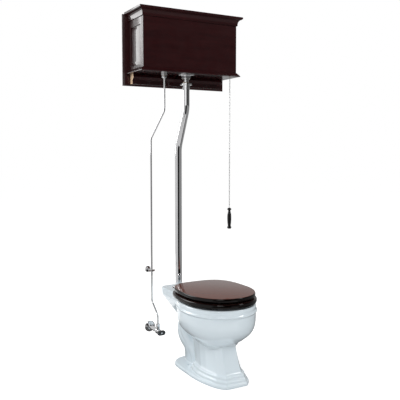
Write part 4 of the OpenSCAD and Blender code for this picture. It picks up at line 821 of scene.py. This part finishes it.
def make_pipes():
    """Flush pipe from the bowl's socket, supply pipe from the stop valve, both up to the tank."""
    flush = [(0, HORN_Y, RIM_Z - SOCKET_H + INTO_FITTING), (0, HORN_Y, FLUSH_BEND_LOW),
             (0, TANK_PIPES_Y, FLUSH_BEND_TOP), (0, TANK_PIPES_Y, COLLAR_Z - INTO_FITTING)]
    shaped("flush_pipe", tube(flush, FLUSH_R, FLUSH_WALL, FLUSH_BEND_R, 64), CHROME)
    supply = [(VALVE_X, VALVE_Y, VALVE_OUTLET_Z), (VALVE_X, VALVE_Y, VALVE_BEND_Z),
              (SUPPLY_LOW_X, SUPPLY_LOW_Y, SUPPLY_BEND_LOW),
              (SUPPLY_LOW_X, SUPPLY_LOW_Y, SUPPLY_BEND_MID),
              (SUPPLY_X, TANK_PIPES_Y, SUPPLY_BEND_TOP),
              (SUPPLY_X, TANK_PIPES_Y, SUPPLY_NUT_Z + INTO_FITTING)]
    shaped("supply_pipe", tube(supply, SUPPLY_R, SUPPLY_WALL, SUPPLY_BEND_R, 32), CHROME)


# ---- Pull handle --------------------------------------------------------------------------------

HANDLE_L = 118
HANDLE_D = 25


def make_handle():
    """Turned wooden handle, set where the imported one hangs."""
    low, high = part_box("pull_handle")
    x, y = (low.x + high.x) / 2 / MM, (low.y + high.y) / 2 / MM
    bottom = low.z / MM
    profile = [(0.30, 0), (0.44, 3), (0.48, 8), (0.40, 13), (0.34, 18), (0.42, HANDLE_L * 0.3),
               (0.46, HANDLE_L * 0.5), (0.42, HANDLE_L * 0.68), (0.30, HANDLE_L - 22),
               (0.26, HANDLE_L - 15), (0.42, HANDLE_L - 11), (0.46, HANDLE_L - 6),
               (0.30, HANDLE_L - 1), (0.16, HANDLE_L)]
    turned = [(share * HANDLE_D, height) for share, height in spline(profile, 6)]
    points, faces = lathe(turned, 48)
    placed = [(px + x, py + y, pz + bottom) for px, py, pz in points]
    shaped("pull_handle", (placed, faces), EBONISED, 60)


# ---- Pieces that keep their shape ---------------------------------------------------------------

BOARD_EASE = 1.2
FITTING_EASE = 0.5

WOODEN = {"wall_board": CHERRY_X, "tank_front": CHERRY_X,
          "tank_left_side": CHERRY_Z, "tank_right_side": CHERRY_Z, "tank_back": CHERRY_X,
          "tank_bottom": CHERRY_X, "base_front": CHERRY_X, "base_left": CHERRY_Y,
          "base_right": CHERRY_Y, "tank_top": CHERRY_X, "crown_front": CHERRY_X,
          "crown_left": CHERRY_Y, "crown_right": CHERRY_Y}
FITTINGS = {
    "chrome": (CHROME, ["float_valve_locknut", "seat_ring_leaves", "seat_lid_leaves",
                        "hinge_posts", "hinge_rod", "flush_pipe_collar", "tank_flange",
                        "tank_slip_nut", "supply_top_nut", "supply_clamp", "stop_valve_body",
                        "stop_valve_outlet_nut", "stop_valve_packing_nut", "stop_valve_stem",
                        "stop_valve_screw", "escutcheon"]),
    "brass": (BRASS, ["flush_valve_seat", "overflow_tube", "lift_rod_guide", "lift_rod",
                      "float_valve_body", "float_valve_plunger", "lever_bracket", "pivot_pin",
                      "flush_lever", "chain_bush"]),
    "black_rubber": (BLACK_RUBBER, ["seat_ring_bumpers", "seat_lid_bumpers", "stopper"]),
    "white_rubber": (WHITE_RUBBER, ["inlet_gasket"]),
    "white_plastic": (WHITE_PLASTIC, ["hinge_nuts"]),
    "liner_plastic": (LINER, ["tank_liner"]),
    "black_handle": (BLACK_HANDLE, ["stop_valve_handle"]),
}
KEPT = {"pull_chain": CHROME, "handle_eye": CHROME, "chain_hook": BRASS, "float_rod": BRASS,
        "float_ball": FLOAT, "refill_tube": WHITE_PLASTIC}


def make_boards():
    """Boards and mouldings with eased edges; the ledge's sawn ends are bare."""
    for node, finish in WOODEN.items():
        eased(node, BOARD_EASE, finish)
    ledge = eased("ledge", BOARD_EASE, CHERRY_X)
    ledge.data.materials.append(END_GRAIN)
    for polygon in ledge.data.polygons:
        if abs(polygon.normal.x) > 0.9:
            polygon.material_index = 1


def make_fittings():
    """Fittings with eased edges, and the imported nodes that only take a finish."""
    for slot, (finish, names) in FITTINGS.items():
        for node in names:
            eased(node, FITTING_EASE, finish)
    for node, finish in KEPT.items():
        kept = frame["nodes"][node]
        kept.data.materials.clear()
        kept.data.materials.append(finish)


# ---- Studio -------------------------------------------------------------------------------------

AMBIENT = 0.62
FLOOR_TONE = 0.84
FLOOR_REACH = 30000
FLOOR_DROP = 0.5
CARD_R = 3600
CARD_FOOT_R = 1600
NEAR_R = 700
INNER_R = 60
PIPES_TOP = 1450
BOARD_TOP = 2050
CEILING = 4600


def make_floor():
    """A white floor that keeps the object's shadow."""
    reach = FLOOR_REACH
    corners = [(-reach, -reach, 0), (reach, -reach, 0), (reach, reach, 0), (-reach, reach, 0)]
    floor = new_object("floor", mesh_of("floor", (corners, [(0, 1, 2, 3)])))
    floor.location.z = -FLOOR_DROP * MM
    f = new_finish("white floor")
    paint = f.add("ShaderNodeBsdfDiffuse", None, {"Color": (FLOOR_TONE,) * 3})
    glow = f.add("ShaderNodeEmission", None,
                 {"Color": (1, 1, 1), "Strength": (1 - FLOOR_TONE * AMBIENT) * shown(f)})
    floor.data.materials.append(f.end("ShaderNodeOutputMaterial",
                                      f.add("ShaderNodeAddShader", None, (paint, glow))))


def shown(f):
    """One where the backdrop is seen, mirrored or looked through, and nothing where it lights."""
    by_eye, in_gloss, through_glass = (
        f.add("ShaderNodeLightPath", out=name)
        for name in ("Is Camera Ray", "Is Glossy Ray", "Is Transmission Ray"))
    return by_eye + in_gloss + through_glass


def make_world():
    """Even white surroundings; what lights the object is weaker than what is seen."""
    world = bpy.data.worlds.new("studio")
    bpy.context.scene.world = world
    f = Finish(world)
    shader = f.add("ShaderNodeBackground", None,
                   {"Color": (1, 1, 1), "Strength": AMBIENT + (1 - AMBIENT) * shown(f)})
    f.end("ShaderNodeOutputWorld", shader)


def make_lamp(name, place, aim, width, height, power):
    data = bpy.data.lights.new(name, "AREA")
    data.shape = "RECTANGLE"
    data.size = width
    data.size_y = height
    data.energy = power
    lamp = bpy.data.objects.new(name, data)
    lamp.location = place
    lamp.rotation_euler = (Vector(aim) - Vector(place)).to_track_quat("-Z", "Y").to_euler()
    bpy.context.scene.collection.objects.link(lamp)


def make_lamps():
    """Lamps that, from the camera, aren't mirrored by the tank's front or the pipe at the valve."""
    make_lamp("key lamp", (-1.9, -3.0, 3.0), (0, 0, 0.5), 1.3, 1.0, 44)
    make_lamp("side lamp", (2.6, -2.1, 3.6), (0, 0, 0.4), 0.8, 0.8, 24)
    make_lamp("rear lamp", (-1.92, 2.2, 2.2), (-0.2, 0.1, 1.5), 1.4, 2.2, 42)


def mirrored_card(name, shape, tone):
    """A card for metal and lacquer to mirror; it isn't seen, lights nothing, casts no shadow."""
    card = new_object(name, mesh_of(name, shape))
    f = new_finish(name)
    card.data.materials.append(f.end("ShaderNodeOutputMaterial", f.add(
        "ShaderNodeEmission", None, {"Color": (tone, tone, tone), "Strength": 1.0})))
    card.visible_camera = False
    card.visible_diffuse = False
    card.visible_shadow = False


def bearing_fan(start, end, low, high):
    """A strip between two bearings from straight ahead, low and high as (radius, height)."""
    steps = 24
    points, faces = [], []
    for k in range(steps + 1):
        a = math.radians(mix(start, end, k / steps))
        for radius, z in (low, high):
            points.append((radius * math.sin(a), -radius * math.cos(a), z))
        if k:
            faces.append((2 * k - 2, 2 * k, 2 * k + 1, 2 * k - 1))
    return points, faces


def make_cards():
    """Upright cards round the object and flat ones before it, each with its two bearings."""
    upright = [("left", -195, -54, 0, CEILING, 0.60), ("black", -54, 2, 0, PIPES_TOP, 0.01),
               ("grey", 2, 110, 0, PIPES_TOP, 0.25), ("line", -17, 14, PIPES_TOP, BOARD_TOP, 0.02),
               ("board", 14, 60, PIPES_TOP, BOARD_TOP, 0.08),
               ("edge", 60, 110, PIPES_TOP, BOARD_TOP, 0.10),
               ("high", -54, 110, BOARD_TOP, CEILING, 0.02), ("back", 110, 165, 0, CEILING, 0.44)]
    for name, start, end, low, high, tone in upright:
        mirrored_card(name + " card", bearing_fan(start, end, (CARD_R, low), (CARD_R, high)), tone)
    flat = [("black", -54, 2, CARD_FOOT_R, CARD_R, 0.01),
            ("grey", 2, 160, CARD_FOOT_R, CARD_R, 0.25),
            ("left", -160, -54, CARD_FOOT_R, CARD_R, 0.60),
            ("near left", -160, 20, NEAR_R, CARD_FOOT_R, 0.60),
            ("near right", 20, 150, NEAR_R, CARD_FOOT_R, 0.12),
            ("near", -180, 180, INNER_R, NEAR_R, 0.10)]
    for name, start, end, inner, outer, tone in flat:
        mirrored_card(name + " sheet", bearing_fan(start, end, (inner, 1), (outer, 1)), tone)
    mirrored_card("ceiling card", bearing_fan(-180, 180, (1, CEILING), (CARD_R, CEILING)), 0.03)


# ---- Putting it together ------------------------------------------------------------------------

make_camera()
make_world()
make_floor()
make_lamps()
make_cards()
make_bowl()
make_ring()
make_lid()
make_pipes()
make_handle()
make_boards()
make_fittings()
